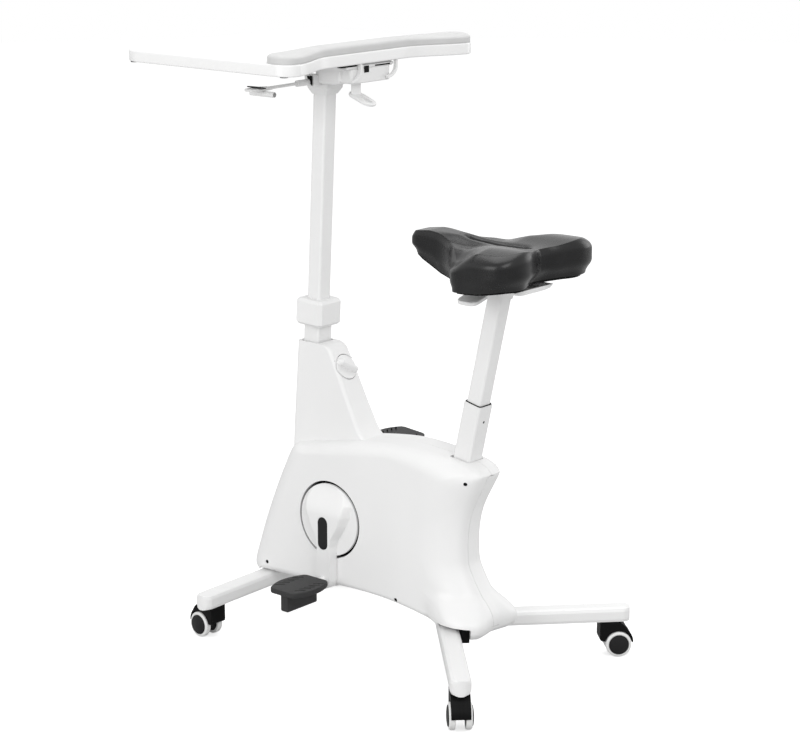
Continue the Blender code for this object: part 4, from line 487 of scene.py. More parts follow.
def spline(points: Sequence[Sequence[float]], count: int) -> Array:
    """Points evenly spaced along a Catmull-Rom curve.

    On each span p(t) = b + (c - a) t / 2 + (a - 5b/2 + 2c - d/2) t^2 + (3b/2 - a/2 - 3c/2 + d/2) t^3.

    Args:
        points: the places the curve goes through.
        count: how many points come back.

    Returns:
        An array of count rows.
    """
    knots = np.asarray(points, float)
    padded = np.vstack([2 * knots[0] - knots[1], knots, 2 * knots[-1] - knots[-2]])
    a, b, c, d = (padded[k : len(padded) - 3 + k, None, :] for k in range(4))
    t = np.linspace(0, 1, 48, endpoint=False)[None, :, None]
    cubic = t**3 * (1.5 * b - 0.5 * a - 1.5 * c + 0.5 * d)
    fine = b + 0.5 * t * (c - a) + t**2 * (a - 2.5 * b + 2 * c - 0.5 * d) + cubic
    fine = np.vstack([fine.reshape(-1, knots.shape[1]), knots[-1:]])
    run = np.concatenate([[0.0], np.cumsum(np.linalg.norm(np.diff(fine, axis=0), axis=1))])
    wanted = np.linspace(0, run[-1], count)
    return np.column_stack([np.interp(wanted, run, fine[:, k]) for k in range(knots.shape[1])])


def linked(name: str, data: object) -> bpy.types.Object:
    """A new object of the scene, at the origin.

    Args:
        name: what it is called.
        data: its mesh, camera or lamp.

    Returns:
        The object.
    """
    made = bpy.data.objects.new(name, data)
    bpy.context.scene.collection.objects.link(made)
    return made


def outward(mesh: Mesh) -> Mesh:
    """Merge doubles and turn a closed mesh's faces outwards.

    Args:
        mesh: a closed mesh.

    Returns:
        The same mesh.
    """
    work = bmesh.new()
    work.from_mesh(mesh)
    bmesh.ops.remove_doubles(work, verts=work.verts, dist=1e-6)
    bmesh.ops.dissolve_degenerate(work, edges=work.edges, dist=1e-7)
    bmesh.ops.recalc_face_normals(work, faces=work.faces)
    work.to_mesh(mesh)
    work.free()
    return mesh


def grid_mesh(grid: Array, looped: bool = False) -> Mesh:
    """A closed mesh over a grid of points p[i, j], each row a ring.

    Quads join (i, j), (i, j+1), (i+1, j+1) and (i+1, j).

    Args:
        grid: array of rows, columns and 3 coordinates.
        looped: whether the last row meets the first; otherwise both are capped.

    Returns:
        The mesh.
    """
    rows, columns = grid.shape[:2]
    index = np.arange(rows * columns).reshape(rows, columns)
    index = np.hstack([index, index[:, :1]])
    if looped:
        index = np.vstack([index, index[:1]])
    corners = (index[:-1, :-1], index[:-1, 1:], index[1:, 1:], index[1:, :-1])
    faces = np.stack(corners, axis=-1).reshape(-1, 4).tolist()
    if not looped:
        faces += [list(range(columns))[::-1], list(range((rows - 1) * columns, rows * columns))]
    mesh = bpy.data.meshes.new("form")
    mesh.from_pydata(grid.reshape(-1, 3).tolist(), [], faces)
    return outward(mesh)


def lathe(profile: Sequence, spine: Sequence[float], along: Sequence[float], count: int) -> Mesh:
    """A profile turned about an axis.

    p(s, t) = spine + h(s) along + r(s) (cos t across + sin t other).

    Args:
        profile: rows of radius and height along the axis, from axis to axis or back to its start.
        spine: a point on the axis.
        along: the axis's direction.
        count: how many points each turn has.

    Returns:
        The closed mesh.
    """
    profile = np.asarray(profile)
    along = np.asarray(along) / np.linalg.norm(along)
    across = np.cross(along, (0.0, 0.0, 1.0) if abs(along[2]) < 0.9 else (1.0, 0.0, 0.0))
    across /= np.linalg.norm(across)
    ring = circling(np.arange(count) * 2 * math.pi / count) @ np.stack([across, np.cross(along, across)])
    grid = np.asarray(spine) + profile[:, 1, None, None] * along + profile[:, 0, None, None] * ring
    looped = bool(np.allclose(profile[0], profile[-1]))
    return grid_mesh(grid[:-1] if looped else grid, looped)


def lifted(points: Array, axis: int, place: float | Array) -> Array:
    """Flat points put into space, with their third coordinate along an axis."""
    return np.insert(points, axis, place, axis=-1)


def shrunk(outline: Array, distance: float) -> Array:
    """A closed outline moved inwards: p - n d, with n the mean normal of the two sides at p.

    Args:
        outline: rows of points.
        distance: how far it moves.

    Returns:
        The new rows.
    """
    ahead = np.roll(outline, -1, axis=0) - outline
    ahead /= np.maximum(np.linalg.norm(ahead, axis=1), 1e-9)[:, None]
    mean = ahead + np.roll(ahead, 1, axis=0)
    mean /= np.maximum(np.linalg.norm(mean, axis=1), 1e-9)[:, None]
    x, y = outline.T
    area = 0.5 * np.sum(x * np.roll(y, -1) - y * np.roll(x, -1))
    return outline - np.column_stack([mean[:, 1], -mean[:, 0]]) * np.sign(area) * distance


def slab(
    outline: Array, axis: int, low: float, high: float, low_edge: float = 0.0, high_edge: float = 0.0
) -> Mesh:
    """An outline carried along an axis, with its edges rounded.

    The rows are the outline shrunk by e (1 - sin t) at the height end -+ e (1 - cos t), with t from 0 to
    90 degrees.

    Args:
        outline: closed outline in the plane across the axis.
        axis: 0, 1 or 2.
        low: one end.
        high: the other end.
        low_edge: radius of the edge at the lower end.
        high_edge: radius of the edge at the upper end.

    Returns:
        The mesh.
    """
    low, high = sorted((low, high))
    turns = np.linspace(0, QUARTER, 5)
    rows = {(low_edge * (1 - math.sin(t)), low + low_edge * (1 - math.cos(t))) for t in turns}
    rows |= {(high_edge * (1 - math.sin(t)), high - high_edge * (1 - math.cos(t))) for t in turns}
    rows = sorted(rows, key=lambda row: row[1])
    return grid_mesh(np.stack([lifted(shrunk(outline, inset), axis, place) for inset, place in rows]))


def round_outline(radius: float | Pair, middle: Pair = (0.0, 0.0), count: int = 72) -> Array:
    """A circle, or an ellipse with two radii, about a point."""
    return circling(np.arange(count) * 2 * math.pi / count) * radius + np.asarray(middle)


def bar_outline(width: float, length: float, middle: Pair = (0.0, 0.0), count: int = 18) -> Array:
    """A slot with round ends, its length along the second axis."""
    upper = circling(np.linspace(0, math.pi, count)) * width / 2 + (0.0, (length - width) / 2)
    return np.vstack([upper, -upper]) + np.asarray(middle)


def box_outline(width: float, height: float, radius: float, middle: Pair = (0.0, 0.0)) -> Array:
    """A rectangle with round corners about a point.

    Args:
        width: size along the first axis.
        height: size along the second axis.
        radius: that of the corners.
        middle: the point.

    Returns:
        The outline's rows.
    """
    quarter = circling(np.linspace(0, QUARTER, 7)) * radius + (width / 2 - radius, height / 2 - radius)
    flipped = quarter[::-1] * (-1, 1)
    return np.vstack([quarter, flipped, -quarter, -flipped]) + np.asarray(middle)


def joined(meshes: Iterable[Mesh]) -> Mesh:
    """Several meshes as one.

    Args:
        meshes: the meshes, which are used up.

    Returns:
        The joined mesh.
    """
    work = bmesh.new()
    for mesh in meshes:
        work.from_mesh(mesh)
        bpy.data.meshes.remove(mesh)
    made = bpy.data.meshes.new("form")
    work.to_mesh(made)
    work.free()
    return made


def turned(mesh: Mesh, matrix: Matrix) -> Mesh:
    """A mesh moved by a matrix, with its faces kept outwards."""
    mesh.transform(matrix)
    return outward(mesh)


def carve(mesh: Mesh, tool: Mesh) -> Mesh:
    """Cut one closed mesh out of another, exactly.

    Args:
        mesh: the mesh that is cut.
        tool: the mesh whose space goes.

    Returns:
        The rest of the first mesh.
    """
    body, cutter = (linked("carve", part) for part in (mesh, tool))
    step = body.modifiers.new("carve", "BOOLEAN")
    step.object, step.operation, step.solver = cutter, "DIFFERENCE", "EXACT"
    bpy.context.view_layer.update()
    made = bpy.data.meshes.new_from_object(body.evaluated_get(bpy.context.evaluated_depsgraph_get()))
    for obj, data in ((body, mesh), (cutter, tool)):
        bpy.data.objects.remove(obj)
        bpy.data.meshes.remove(data)
    made.materials.clear()
    return made


@dataclass
class Piece:
    """A finished mesh, and where it belongs."""

    mesh: Mesh
    name: str
    finish: Finish
    body: str
    nodes: tuple[str, ...] = ()
    sharp: float = 38.0
    fill: float | None = None

    def put(self) -> bpy.types.Object:
        """Put the piece into the scene, on its body and in place of its solids.

        Returns:
            The object.
        """
        self.mesh.name = self.name
        self.mesh.materials.append(material_of(self.finish))
        self.mesh.shade_smooth()
        made = linked(self.name, self.mesh)
        if self.fill is None:
            made.data.set_sharp_from_angle(angle=math.radians(self.sharp))
            weighted = made.modifiers.new("even_shading", "WEIGHTED_NORMAL")
            weighted.keep_sharp = True
            weighted.weight = 60
        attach(made, self.body)
        if self.nodes:
            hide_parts(*self.nodes)
        return made


@dataclass
class Assembly:
    """A group of pieces that is built together."""

    def pieces(self) -> Iterable[Piece]:
        """The group's finished pieces."""
        raise NotImplementedError

    def build(self) -> list[bpy.types.Object]:
        """Make the pieces, then put each into the scene, and return the objects."""
        return [piece.put() for piece in list(self.pieces())]


# Saddle


@dataclass
class Saddle(Assembly):
    """The covered cushion: a nose, two lobes with a crease behind, and a slot down the middle."""

    around: int = 150
    rim: tuple = (
        (0.0, 0.092), (0.012, 0.096), (0.020, 0.109), (0.023, 0.138), (0.029, 0.168), (0.048, 0.214),
        (0.092, 0.260), (0.141, 0.291), (0.147, 0.335), (0.143, 0.376), (0.129, 0.401), (0.105, 0.413),
        (0.080, 0.413), (0.046, 0.396), (0.020, 0.379), (0.0, 0.374),
    )
    belly: tuple = (
        (0.0, 0.084), (0.016, 0.087), (0.025, 0.103), (0.028, 0.140), (0.035, 0.178), (0.056, 0.214),
        (0.098, 0.252), (0.141, 0.287), (0.150, 0.335), (0.150, 0.382), (0.138, 0.409), (0.111, 0.423),
        (0.080, 0.424), (0.046, 0.411), (0.020, 0.396), (0.0, 0.390),
    )
    lower_rim: tuple = ((0.084, 0.854), (0.092, 0.845), (0.130, 0.828), (0.165, 0.814), (0.200, 0.808),
                        (0.293, 0.808), (0.350, 0.812), (0.400, 0.820))
    top_line: tuple = ((0.084, 0.872), (0.100, 0.885), (0.135, 0.8895), (0.195, 0.888), (0.240, 0.883),
                       (0.300, 0.878), (0.380, 0.879))
    spine_ends: Pair = (0.112, 0.352)
    lobe_height: float = 0.012
    lobe_middle: float = 0.088
    lobe_spread: float = 0.052
    lobe_start: Pair = (0.22, 0.11)
    wing_drop: float = 0.020
    wing_across: Pair = (0.06, 0.06)
    wing_end: Pair = (0.345, -0.060)
    waist_drop: float = 0.010
    waist_across: Pair = (0.010, 0.036)
    waist_start: Pair = (0.14, 0.06)
    waist_end: Pair = (0.315, -0.06)
    slot_depth: float = 0.010
    slot_across: Pair = (0.0062, -0.003)
    slot_start: Pair = (0.205, 0.03)
    slot_end: Pair = (0.372, -0.03)
    lip_depth: float = 0.007
    lip_spread: float = 0.011
    shoulder: float = 0.14
    tuck: float = 0.0012

    def plan(self, points: Sequence[Pair]) -> Array:
        """The closed outline seen from above: half of it from the nose to the back, and its mirror image.

        Args:
            points: half of the outline.

        Returns:
            Rows of the whole outline.
        """
        half = spline(points, self.around)
        half[0, 0] = half[-1, 0] = 0.0
        return np.vstack([half, (half[1:-1] * (-1, 1))[::-1]])

    def underside(self, y: Array) -> Array:
        """Height of the lower rim at a distance along the saddle."""
        return np.interp(y, *np.transpose(self.lower_rim))

    def crown(self, x: Array, y: Array) -> Array:
        """Height of the top: the middle line + two lobes - wings - a rounded waist - a slot with soft lips.

        The lobes are h exp(-((|x| - middle) / spread)^2) and the lips d exp(-(x / spread)^2); smooth steps
        across and along the saddle bound each term.

        Args:
            x: places across the saddle.
            y: places along it.

        Returns:
            The heights.
        """
        x = np.abs(x)
        lobes = self.lobe_height * np.exp(-(((x - self.lobe_middle) / self.lobe_spread) ** 2))
        wings = self.wing_drop * step(y, *self.wing_end) * step(x, *self.wing_across)
        waist = self.waist_drop * step(x, *self.waist_across) * step(y, *self.waist_start)
        lips = self.lip_depth * np.exp(-((x / self.lip_spread) ** 2))
        slot = (lips + self.slot_depth * step(x, *self.slot_across)) * step(y, *self.slot_start)
        top = np.interp(y, *np.transpose(self.top_line)) + lobes * step(y, *self.lobe_start)
        return top - wings - waist * step(y, *self.waist_end) - slot * step(y, *self.slot_end)

    def spine(self, plan: Array) -> Array:
        """The point of the middle line that each point of a plan is drawn towards."""
        return np.column_stack([np.zeros(len(plan)), np.clip(plan[:, 1], *self.spine_ends)])

    def rows(self) -> Iterable[Array]:
        """The rings of points from under the rim, up the walls and over the crown.

        With reach r from 1 to 0 and rise q from 0 to 1, p = (s + r (b - s), low + q (crown - low)), where
        s is the middle line and b the belly.

        Returns:
            The rings, each with the same count of points.
        """
        rim, belly = self.plan(self.rim), self.plan(self.belly)
        for reach in (0.0, 0.3, 0.6, 0.85, 0.95, 1.0):
            spot = self.spine(rim) + (rim - self.spine(rim)) * reach
            yield lifted(spot, 2, self.underside(spot[:, 1]))
        yield lifted(rim * 0.99 + belly * 0.01, 2, self.underside(rim[:, 1]) + self.tuck)
        turn = np.linspace(0, 1, 22)[1:]
        wall = [
            (1 - self.shoulder * ease((t - 0.45) / 0.55) ** 1.5, math.sin(QUARTER * t) ** 0.95) for t in turn
        ]
        top = [((1 - self.shoulder) * (1 - t), 1.0) for t in np.linspace(0, 1, 38)[1:]]
        for k, (reach, rise) in enumerate(wall + top):
            share = ease((k + 1) / 5)
            spot = rim * (1 - share) + (self.spine(belly) + (belly - self.spine(belly)) * reach) * share
            low = self.underside(spot[:, 1])
            yield lifted(spot, 2, low + (self.crown(*spot.T) - low) * rise)

    def pieces(self) -> Iterable[Piece]:
        """The cushion's cover."""
        mesh = grid_mesh(np.stack(list(self.rows())))
        yield Piece(mesh, "saddle_cover", Finish.LEATHER, "seat", ("saddle_cushion",), fill=0.9)


# Desk


@dataclass(frozen=True)
class NearEdge:
    """The desk's near edge, set back in its middle."""

    depth: float = 0.049
    flat: float = 0.112
    end: float = 0.262

    def inset(self, x: Array) -> Array:
        """How far the edge is set back: depth ease((end - |x|) / (end - flat))."""
        return self.depth * ease((self.end - np.abs(x)) / (self.end - self.flat))


NEAR_EDGE = NearEdge()


@dataclass
class WristRest(Assembly):
    """The pad along the desk's near edge, tall in the recess and lower at its ends."""

    half_width: float = 0.282
    near_y: float = 0.0095
    near_corner: float = 0.0345
    far_y: float = -0.089
    far_corner: float = 0.030
    end_depth: float = 0.027
    far_flat: float = 0.085
    far_end: float = 0.260
    foot_z: float = 1.2198
    top_z: float = 1.2390
    rounding: float = 0.0140
    wall: float = 0.52

    def outline(self, margin: float) -> Array:
        """Plan of the pad.

        near(x) = near_y - m' - the edge's inset and
        far(x) = far_y + bend ease((|x| - flat) / (end - flat)) + m, both with round corners,
        y' = y +- r (1 - sqrt(1 - past^2)).

        Args:
            margin: how far the plan is moved inwards.

        Returns:
            Rows of x and y.
        """
        half = self.half_width - margin
        xs = half * np.sin(np.linspace(QUARTER, -QUARTER, 121))
        reach = np.abs(xs)
        bend = step(reach, self.far_flat, self.far_end - self.far_flat)
        far = self.far_y + self.end_depth * bend + margin
        slope = margin * (1 + 1.3 * ease((reach - 0.10) / 0.12))
        near = self.near_y - slope - NEAR_EDGE.inset(xs)
        sides = []
        for y, corner in ((near, self.near_corner - slope[0]), (far, margin - self.far_corner)):
            past = ((reach - (half - abs(corner))) / abs(corner)).clip(0, 1)
            sides.append(np.column_stack([xs, y - corner * (1 - np.sqrt(1 - past**2))]))
        return np.vstack([sides[0], sides[1][::-1]])

    def pieces(self) -> Iterable[Piece]:
        """The pad.

        Returns:
            One piece.
        """
        turn = np.linspace(0, QUARTER, 12)
        steps = [(0.0006, 0.0), (0.0, 0.03), (0.0, 0.25)]
        for t in turn:
            rise = self.wall + (1 - self.wall) * math.sin(t)
            steps.append((self.rounding * (1 - math.cos(t)) ** 1.25, rise))
        height = self.top_z - self.foot_z
        rows = [lifted(self.outline(margin), 2, self.foot_z + rise * height) for margin, rise in steps]
        yield Piece(grid_mesh(np.stack(rows)), "wrist_pad", Finish.PAD, "desktop", ("wrist_rest",), fill=1.0)


@dataclass
class Board(Assembly):
    """The desk's board with round corners, a recessed near edge and small pads below."""

    top_z: float = 1.221
    thickness: float = 0.0235
    half: float = 0.2834
    far_y: float = -0.4519
    near_y: float = 0.0109
    far_corner: float = 0.055
    near_corner: float = 0.036
    edge: float = 0.0032
    pad_radius: float = 0.0085
    pad_height: float = 0.0028
    pads: tuple = ((0.262, -0.425), (-0.262, -0.425), (0.262, -0.020), (-0.262, -0.020))

    def outline(self) -> Array:
        """The plan: the near edge, round corners and straight sides.

        Returns:
            Rows of x and y.
        """
        turn = np.linspace(0, QUARTER, 22)
        reach = self.half - self.near_corner
        xs = np.linspace(reach, -reach, 90)
        near = np.column_stack([xs, self.near_y - NEAR_EDGE.inset(xs)])
        corner = circling(turn) * self.near_corner + (reach, self.near_y - self.near_corner)
        middle = (self.half - self.far_corner, self.far_y + self.far_corner)
        far = circling(turn - QUARTER) * self.far_corner + middle
        right = np.vstack([far, corner[:-1]])
        return np.vstack([right, near, (right * (-1, 1))[::-1]])

    def pieces(self) -> Iterable[Piece]:
        """The board and its pads.

        Returns:
            Two pieces.
        """
        low = self.top_z - self.thickness
        board = slab(self.outline(), 2, low, self.top_z, self.edge, self.edge)
        yield Piece(board, "board", Finish.BOARD, "desktop", ("desktop",), 30.0)
        outlines = [round_outline(self.pad_radius, pad, 28) for pad in self.pads]
        pads = joined(slab(plan, 2, low - self.pad_height, low + 0.001, 0.0010) for plan in outlines)
        yield Piece(pads, "board_pads", Finish.BLACK, "desktop")


@dataclass
class HeadDetails(Assembly):
    """Painted shade in the desk head's slots and recess, a dark tab, and the lift lever's inlay and end cap.
    """

    # Painted shade: x span and height of each black block that fills a shaded slit between the head and the
    # board.
    slots: tuple = ((0.0211, 0.0682, 1.1940), (-0.0784, -0.0328, 1.1900))
    slot_height: float = 0.0028
    slot_y: float = -0.0494
    block_depth: float = 0.010
    tab: tuple = (-0.0137, -0.0001, 1.1785, 1.1915)
    tab_y: float = -0.0487
    # Painted shade: outline of a thin black sheet on the head's side that stands for the shadow in a recess.
    recess: tuple = ((-0.1527, 1.1689), (-0.1392, 1.1699), (-0.1395, 1.1501), (-0.1501, 1.1612))
    recess_x: Pair = (0.0535, 0.0548)
    inlay: Pair = (0.1915, -0.160)
    inlay_half: Pair = (0.0062, 0.0250)
    cap_radius: float = 0.0046
    cap_rise: float = 0.0005

    def block(self, left: float, right: float, low: float, high: float, near: float) -> Mesh:
        """A small block whose near face stands at y = near."""
        outline = box_outline(right - left, high - low, 0.001, ((left + right) / 2, (low + high) / 2))
        return slab(outline, 1, near - self.block_depth, near, 0.0, 0.0003)

    def lever_points(self) -> Array:
        """The lift lever's corners in the machine's frame.

        Returns:
            Rows of x, y and z.
        """
        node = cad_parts["lift_lever"]
        points = np.empty(len(node.data.vertices) * 3)
        node.data.vertices.foreach_get("co", points)
        turn = np.array(node.matrix_world)
        return points.reshape(-1, 3) @ turn[:3, :3].T + turn[:3, 3]

    def lever_end(self, points: Array) -> Mesh:
        """The cap at the rear end of the lever's finger bar, its lowest part.

        Args:
            points: the lever's corners.

        Returns:
            The cap.
        """
        low = points[points[:, 2] < points[:, 2].min() + 0.0116]
        end = low[low[:, 1] > low[:, 1].max() - 0.0015]
        x, y, z = (end.max(axis=0) + end.min(axis=0)) / 2
        rear = end[:, 1].max() + self.cap_rise
        return slab(round_outline(self.cap_radius, (x, z), 32), 1, y - 0.003, rear, 0.0, 0.0003)

    def pieces(self) -> Iterable[Piece]:
        """The head's and the lever's details.

        Returns:
            Five pieces.
        """
        # Painted shade: black blocks in the slits between the head and the board, which lie in shadow.
        half = self.slot_height / 2
        slots = joined(self.block(a, b, z - half, z + half, self.slot_y) for a, b, z in self.slots)
        yield Piece(slots, "head_slot_shade", Finish.BLACK, "desktop")
        yield Piece(self.block(*self.tab, self.tab_y), "head_tab", Finish.BLACK, "desk_lift")
        # Painted shade: a flat black sheet in place of a shaded recess.
        yield Piece(slab(np.array(self.recess), 0, *self.recess_x), "head_recess_shade", Finish.BLACK, "desk_lift")
        points = self.lever_points()
        top = points[np.abs(points[:, :2] - self.inlay).max(axis=1) < 0.04, 2].max()
        lens = round_outline(self.inlay_half, self.inlay, 48)
        inlay = slab(lens, 2, top - 0.001, top + 0.0004, 0.0, 0.0003)
        yield Piece(inlay, "lift_inlay", Finish.BLACK, "lift_lever")
        yield Piece(self.lever_end(points), "lift_bar_end", Finish.CAP, "lift_lever")


# Housing


@dataclass(frozen=True)
class Post:
    """A square tube that stands in the housing and leans back from its foot, with a post sliding in it."""

    foot: Pair
    tilt: float
    hole: float
    # distances along the tube between which a black ring paints the shaded gap inside the housing's hole
    shade_span: Pair
    reach: float
    hole_shift: float = 0.0
    channel_size: float = 0.0400
    corner: float = 0.005

    def bar(self, size: float, low: float, high: float, shift: float = 0.0) -> Mesh:
        """A square bar about the axis.

        Args:
            size: its width.
            low: distance of its lower end above the foot.
            high: distance of its upper end.
            shift: how far it stands off the axis, to the rear.

        Returns:
            The bar.
        """
        place = Matrix.Translation((0, self.foot[0] + shift, self.foot[1]))
        bar = slab(box_outline(size, size, self.corner), 2, low, high)
        return turned(bar, place @ Matrix.Rotation(-self.tilt, 4, "X"))

    def holed(self, mesh: Mesh, low: float, high: float) -> Mesh:
        """A mesh with the hole that the fixed tube comes out of."""
        return carve(mesh, self.bar(self.hole, low, high, self.hole_shift))

    def channelled(self, mesh: Mesh) -> Mesh:
        """A mesh with the way down for the sliding post, inside the fixed tube's wall."""
        return carve(mesh, self.bar(self.channel_size, 0.0, self.reach))

    def ring(self) -> Mesh:
        """Painted shade: a black ring about the fixed tube, just inside the hole, where the gap between tube
        and housing lies in shadow.
        """
        return self.channelled(self.bar(self.hole - 0.0004, *self.shade_span, self.hole_shift))


SEAT = Post((0.1560, 0.164), math.radians(12.63), 0.0490, (0.20, 0.269), 0.34, -0.0026)
COLUMN = Post((-0.2033, 0.164), math.radians(2.89), 0.0492, (0.40, 0.4495), 0.50)


@dataclass
class Housing(Assembly):
    """Two half shells spread over the rear legs, the strip behind, the screws, and black pieces that paint
    the shade inside the openings and gaps.
    """

    half_width: float = 0.0618
    seam: float = 0.0003
    strip_half: float = 0.011
    strip_gap: float = 0.0007
    strip_wall: float = 0.004
    strip_bulge: float = 0.0002
    strip_span: tuple[int, int] = (5, 83)
    crank_place: Pair = (-0.096, 0.261)
    crank_opening: float = 0.0822
    opening_depth: float = 0.046
    rim_middles: tuple[float, ...] = (0.010, 0.033, 0.016, 0.050)
    rim_corners: tuple[float, ...] = (0.030, 0.020, 0.022, 0.030)
    counts: tuple[int, ...] = (56, 64, 84, 72)
    edges: tuple = (
        ((-0.318, 0.100), (-0.3300, 0.111), (-0.3305, 0.135), (-0.3225, 0.168), (-0.303, 0.223),
         (-0.279, 0.282), (-0.253, 0.340), (-0.227, 0.386), (-0.210, 0.401)),
        ((-0.210, 0.401), (-0.188, 0.408), (-0.030, 0.437), (0.070, 0.449), (0.145, 0.447), (0.235, 0.438),
         (0.266, 0.4285)),
        ((0.266, 0.4285), (0.276, 0.4190), (0.2765, 0.4110), (0.2653, 0.387), (0.2410, 0.336),
         (0.2310, 0.290), (0.2300, 0.244), (0.2352, 0.215), (0.2606, 0.171), (0.2800, 0.1490),
         (0.2925, 0.1300), (0.2955, 0.1130), (0.2905, 0.0990)),
        ((0.2905, 0.0990), (0.275, 0.0880), (0.240, 0.0850), (0.197, 0.100), (0.061, 0.120), (-0.082, 0.120),
         (-0.300, 0.104), (-0.318, 0.100)),
    )
    panels: tuple = (
        ((-0.283, 0.124), (-0.262, 0.190), (-0.222, 0.289), (-0.172, 0.384)),
        ((-0.172, 0.384), (0.000, 0.412), (0.075, 0.419), (0.190, 0.397)),
        ((0.190, 0.397), (0.140, 0.302), (0.150, 0.212), (0.228, 0.117)),
        ((0.228, 0.117), (0.185, 0.116), (0.061, 0.132), (-0.082, 0.132), (-0.283, 0.124)),
    )
    screws: tuple = ((-0.275, 0.130), (0.083, 0.1275), (0.251, 0.402))
    screw_radius: float = 0.0042
    flare_height: Pair = (0.172, -0.054)
    flare_run: Pair = (0.160, 0.055)
    flare_spread: float = 0.50
    flare_reach: float = 0.013
    leg_apex_y: float = 0.1626
    leg_heading: float = math.radians(43.8)
    leg_front: float = -0.024
    leg_rear: dict = field(default_factory=lambda: {1: 0.040, -1: 0.022})
    leg_top: float = 0.1145
    gasket_z: float = 0.557
    gasket_size: float = 0.0388
    gasket_bore: float = 0.0354
    button_drop: float = 0.034

    def closed(self, edges: Sequence) -> Array:
        """The edges' curves joined into one closed outline."""
        return np.vstack([spline(edge, count + 1)[:-1] for edge, count in zip(edges, self.counts)])

    def rims(self) -> Array:
        """Half width of the flat strip at each point of the outline.

        w = middle + (corner - middle) (1 - ease(run / 0.22)) at each edge's start, and mirrored at its end.

        Returns:
            One width for each point.
        """
        widths = []
        for k, count in enumerate(self.counts):
            run = np.arange(count) / count
            middle = self.rim_middles[k]
            start, end = self.rim_corners[k] - middle, self.rim_corners[(k + 1) % 4] - middle
            widths.append(middle + start * (1 - ease(run / 0.22)) + end * ease((run - 0.78) / 0.22))
        return np.concatenate(widths)

    def half_shell(self) -> Array:
        """The grid of the left half as a closed form.

        With t from 0 to 90 degrees, x = rim + (flank - rim) sin t and
        p = outline + (panel - outline) (1 - cos t); the flank itself is flat.

        Returns:
            An array of rows, columns and 3 coordinates.
        """
        outline, panel, rims = self.closed(self.edges), self.closed(self.panels), self.rims()
        behind = np.zeros(len(outline))
        start = sum(self.counts[:2])
        behind[start + self.strip_span[0] : start + self.strip_span[1]] = 1.0
        first = self.seam + behind * (self.strip_half + self.strip_gap - self.seam)
        rims = np.maximum(rims, first + 0.001)
        inside = outline + (shrunk(outline, self.strip_wall + 0.0005) - outline) * behind[:, None]
        rows = [lifted(inside, 0, self.seam), lifted(inside, 0, first), lifted(outline, 0, first)]
        for turn in np.linspace(0, QUARTER, 22):
            across = rims + (self.half_width - rims) * math.sin(turn)
            rows.append(lifted(outline + (panel - outline) * (1 - math.cos(turn)), 0, across))
        middle = panel.mean(axis=0)
        rings = [panel + (middle - panel) * share for share in np.linspace(0.05, 0.95, 16)]
        return np.stack(rows + [lifted(ring, 0, self.half_width) for ring in rings])

    def flared(self, grid: Array) -> Array:
        """The left half with its foot spread over the rear leg.

        x' = x + spread w u and y' = y + reach w min(1, u / 0.035), with w the product of two smooth steps,
        down the foot and to the rear, and u how far a point lies beyond the strip's edge.

        Args:
            grid: points of the left half.

        Returns:
            The moved points.
        """
        x, y, z = np.moveaxis(grid, -1, 0)
        share = step(z, *self.flare_height) * step(y, *self.flare_run)
        past = np.maximum(0, x - self.strip_half - self.strip_gap)
        moved = y + self.flare_reach * share * np.minimum(1, past / 0.035)
        return np.stack([x + self.flare_spread * share * past, moved, z], axis=-1)

    def along_leg(self, side: int, outline: Array, start: float, end: float) -> Mesh:
        """A bar along a rear leg's heading.

        Args:
            side: 1 for the left leg, -1 for the right one.
            outline: rows of the place across the leg, towards the rear, and the height.
            start: distance from the legs' meeting point.
            end: the far distance.

        Returns:
            The bar.
        """
        along = np.array([side * math.cos(self.leg_heading), math.sin(self.leg_heading)])
        across = np.array([-side * along[1], abs(along[0])])
        rows = []
        for reach in (start, end):
            place = np.array([0.0, self.leg_apex_y]) + along * reach + outline[:, :1] * across
            rows.append(np.column_stack([place, outline[:, 1]]))
        return grid_mesh(np.stack(rows))

    def shell(self, side: int) -> Mesh:
        """One half shell, opened for the crank, the seat tube, the leg and both sliding posts.

        Args:
            side: 1 for the left, -1 for the right.

        Returns:
            The half shell.
        """
        mesh = grid_mesh(self.flared(self.half_shell()) * (side, 1, 1))
        opening = round_outline(self.crank_opening, self.crank_place)
        mesh = SEAT.holed(carve(mesh, slab(opening, 0, side * self.opening_depth, side * 0.08)), 0.20, 0.33)
        width, height = self.leg_rear[side] - self.leg_front, 0.065
        middle = (self.leg_rear[side] + self.leg_front) / 2, self.leg_top - height / 2
        mesh = carve(mesh, self.along_leg(side, box_outline(width, height, 0.003, middle), 0.06, 0.22))
        return COLUMN.channelled(SEAT.channelled(mesh))

    def seat_tube_mouth(self) -> Iterable[Piece]:
        """The gasket at the seat tube's mouth and the rim of the small hole below it.

        Returns:
            Two pieces.
        """
        lean, rise = math.sin(SEAT.tilt), math.cos(SEAT.tilt)
        length = (self.gasket_z - SEAT.foot[1]) / rise
        gasket = SEAT.bar(self.gasket_size, length - 0.004, length + 0.0016)
        gasket = carve(gasket, SEAT.bar(self.gasket_bore, 0.0, 0.45))
        yield Piece(gasket, "seat_tube_gasket", Finish.BLACK, "frame")
        run = length - self.button_drop
        rim = [(0.0, 0.0205), (0.0026, 0.0205), (0.0026, 0.02135), (0.0014, 0.0214), (0.0, 0.0214)]
        rim = lathe(rim, (0.0, SEAT.foot[0] + run * lean, SEAT.foot[1] + run * rise), (0.0, rise, -lean), 24)
        yield Piece(rim, "seat_tube_hole", Finish.GREY, "frame")

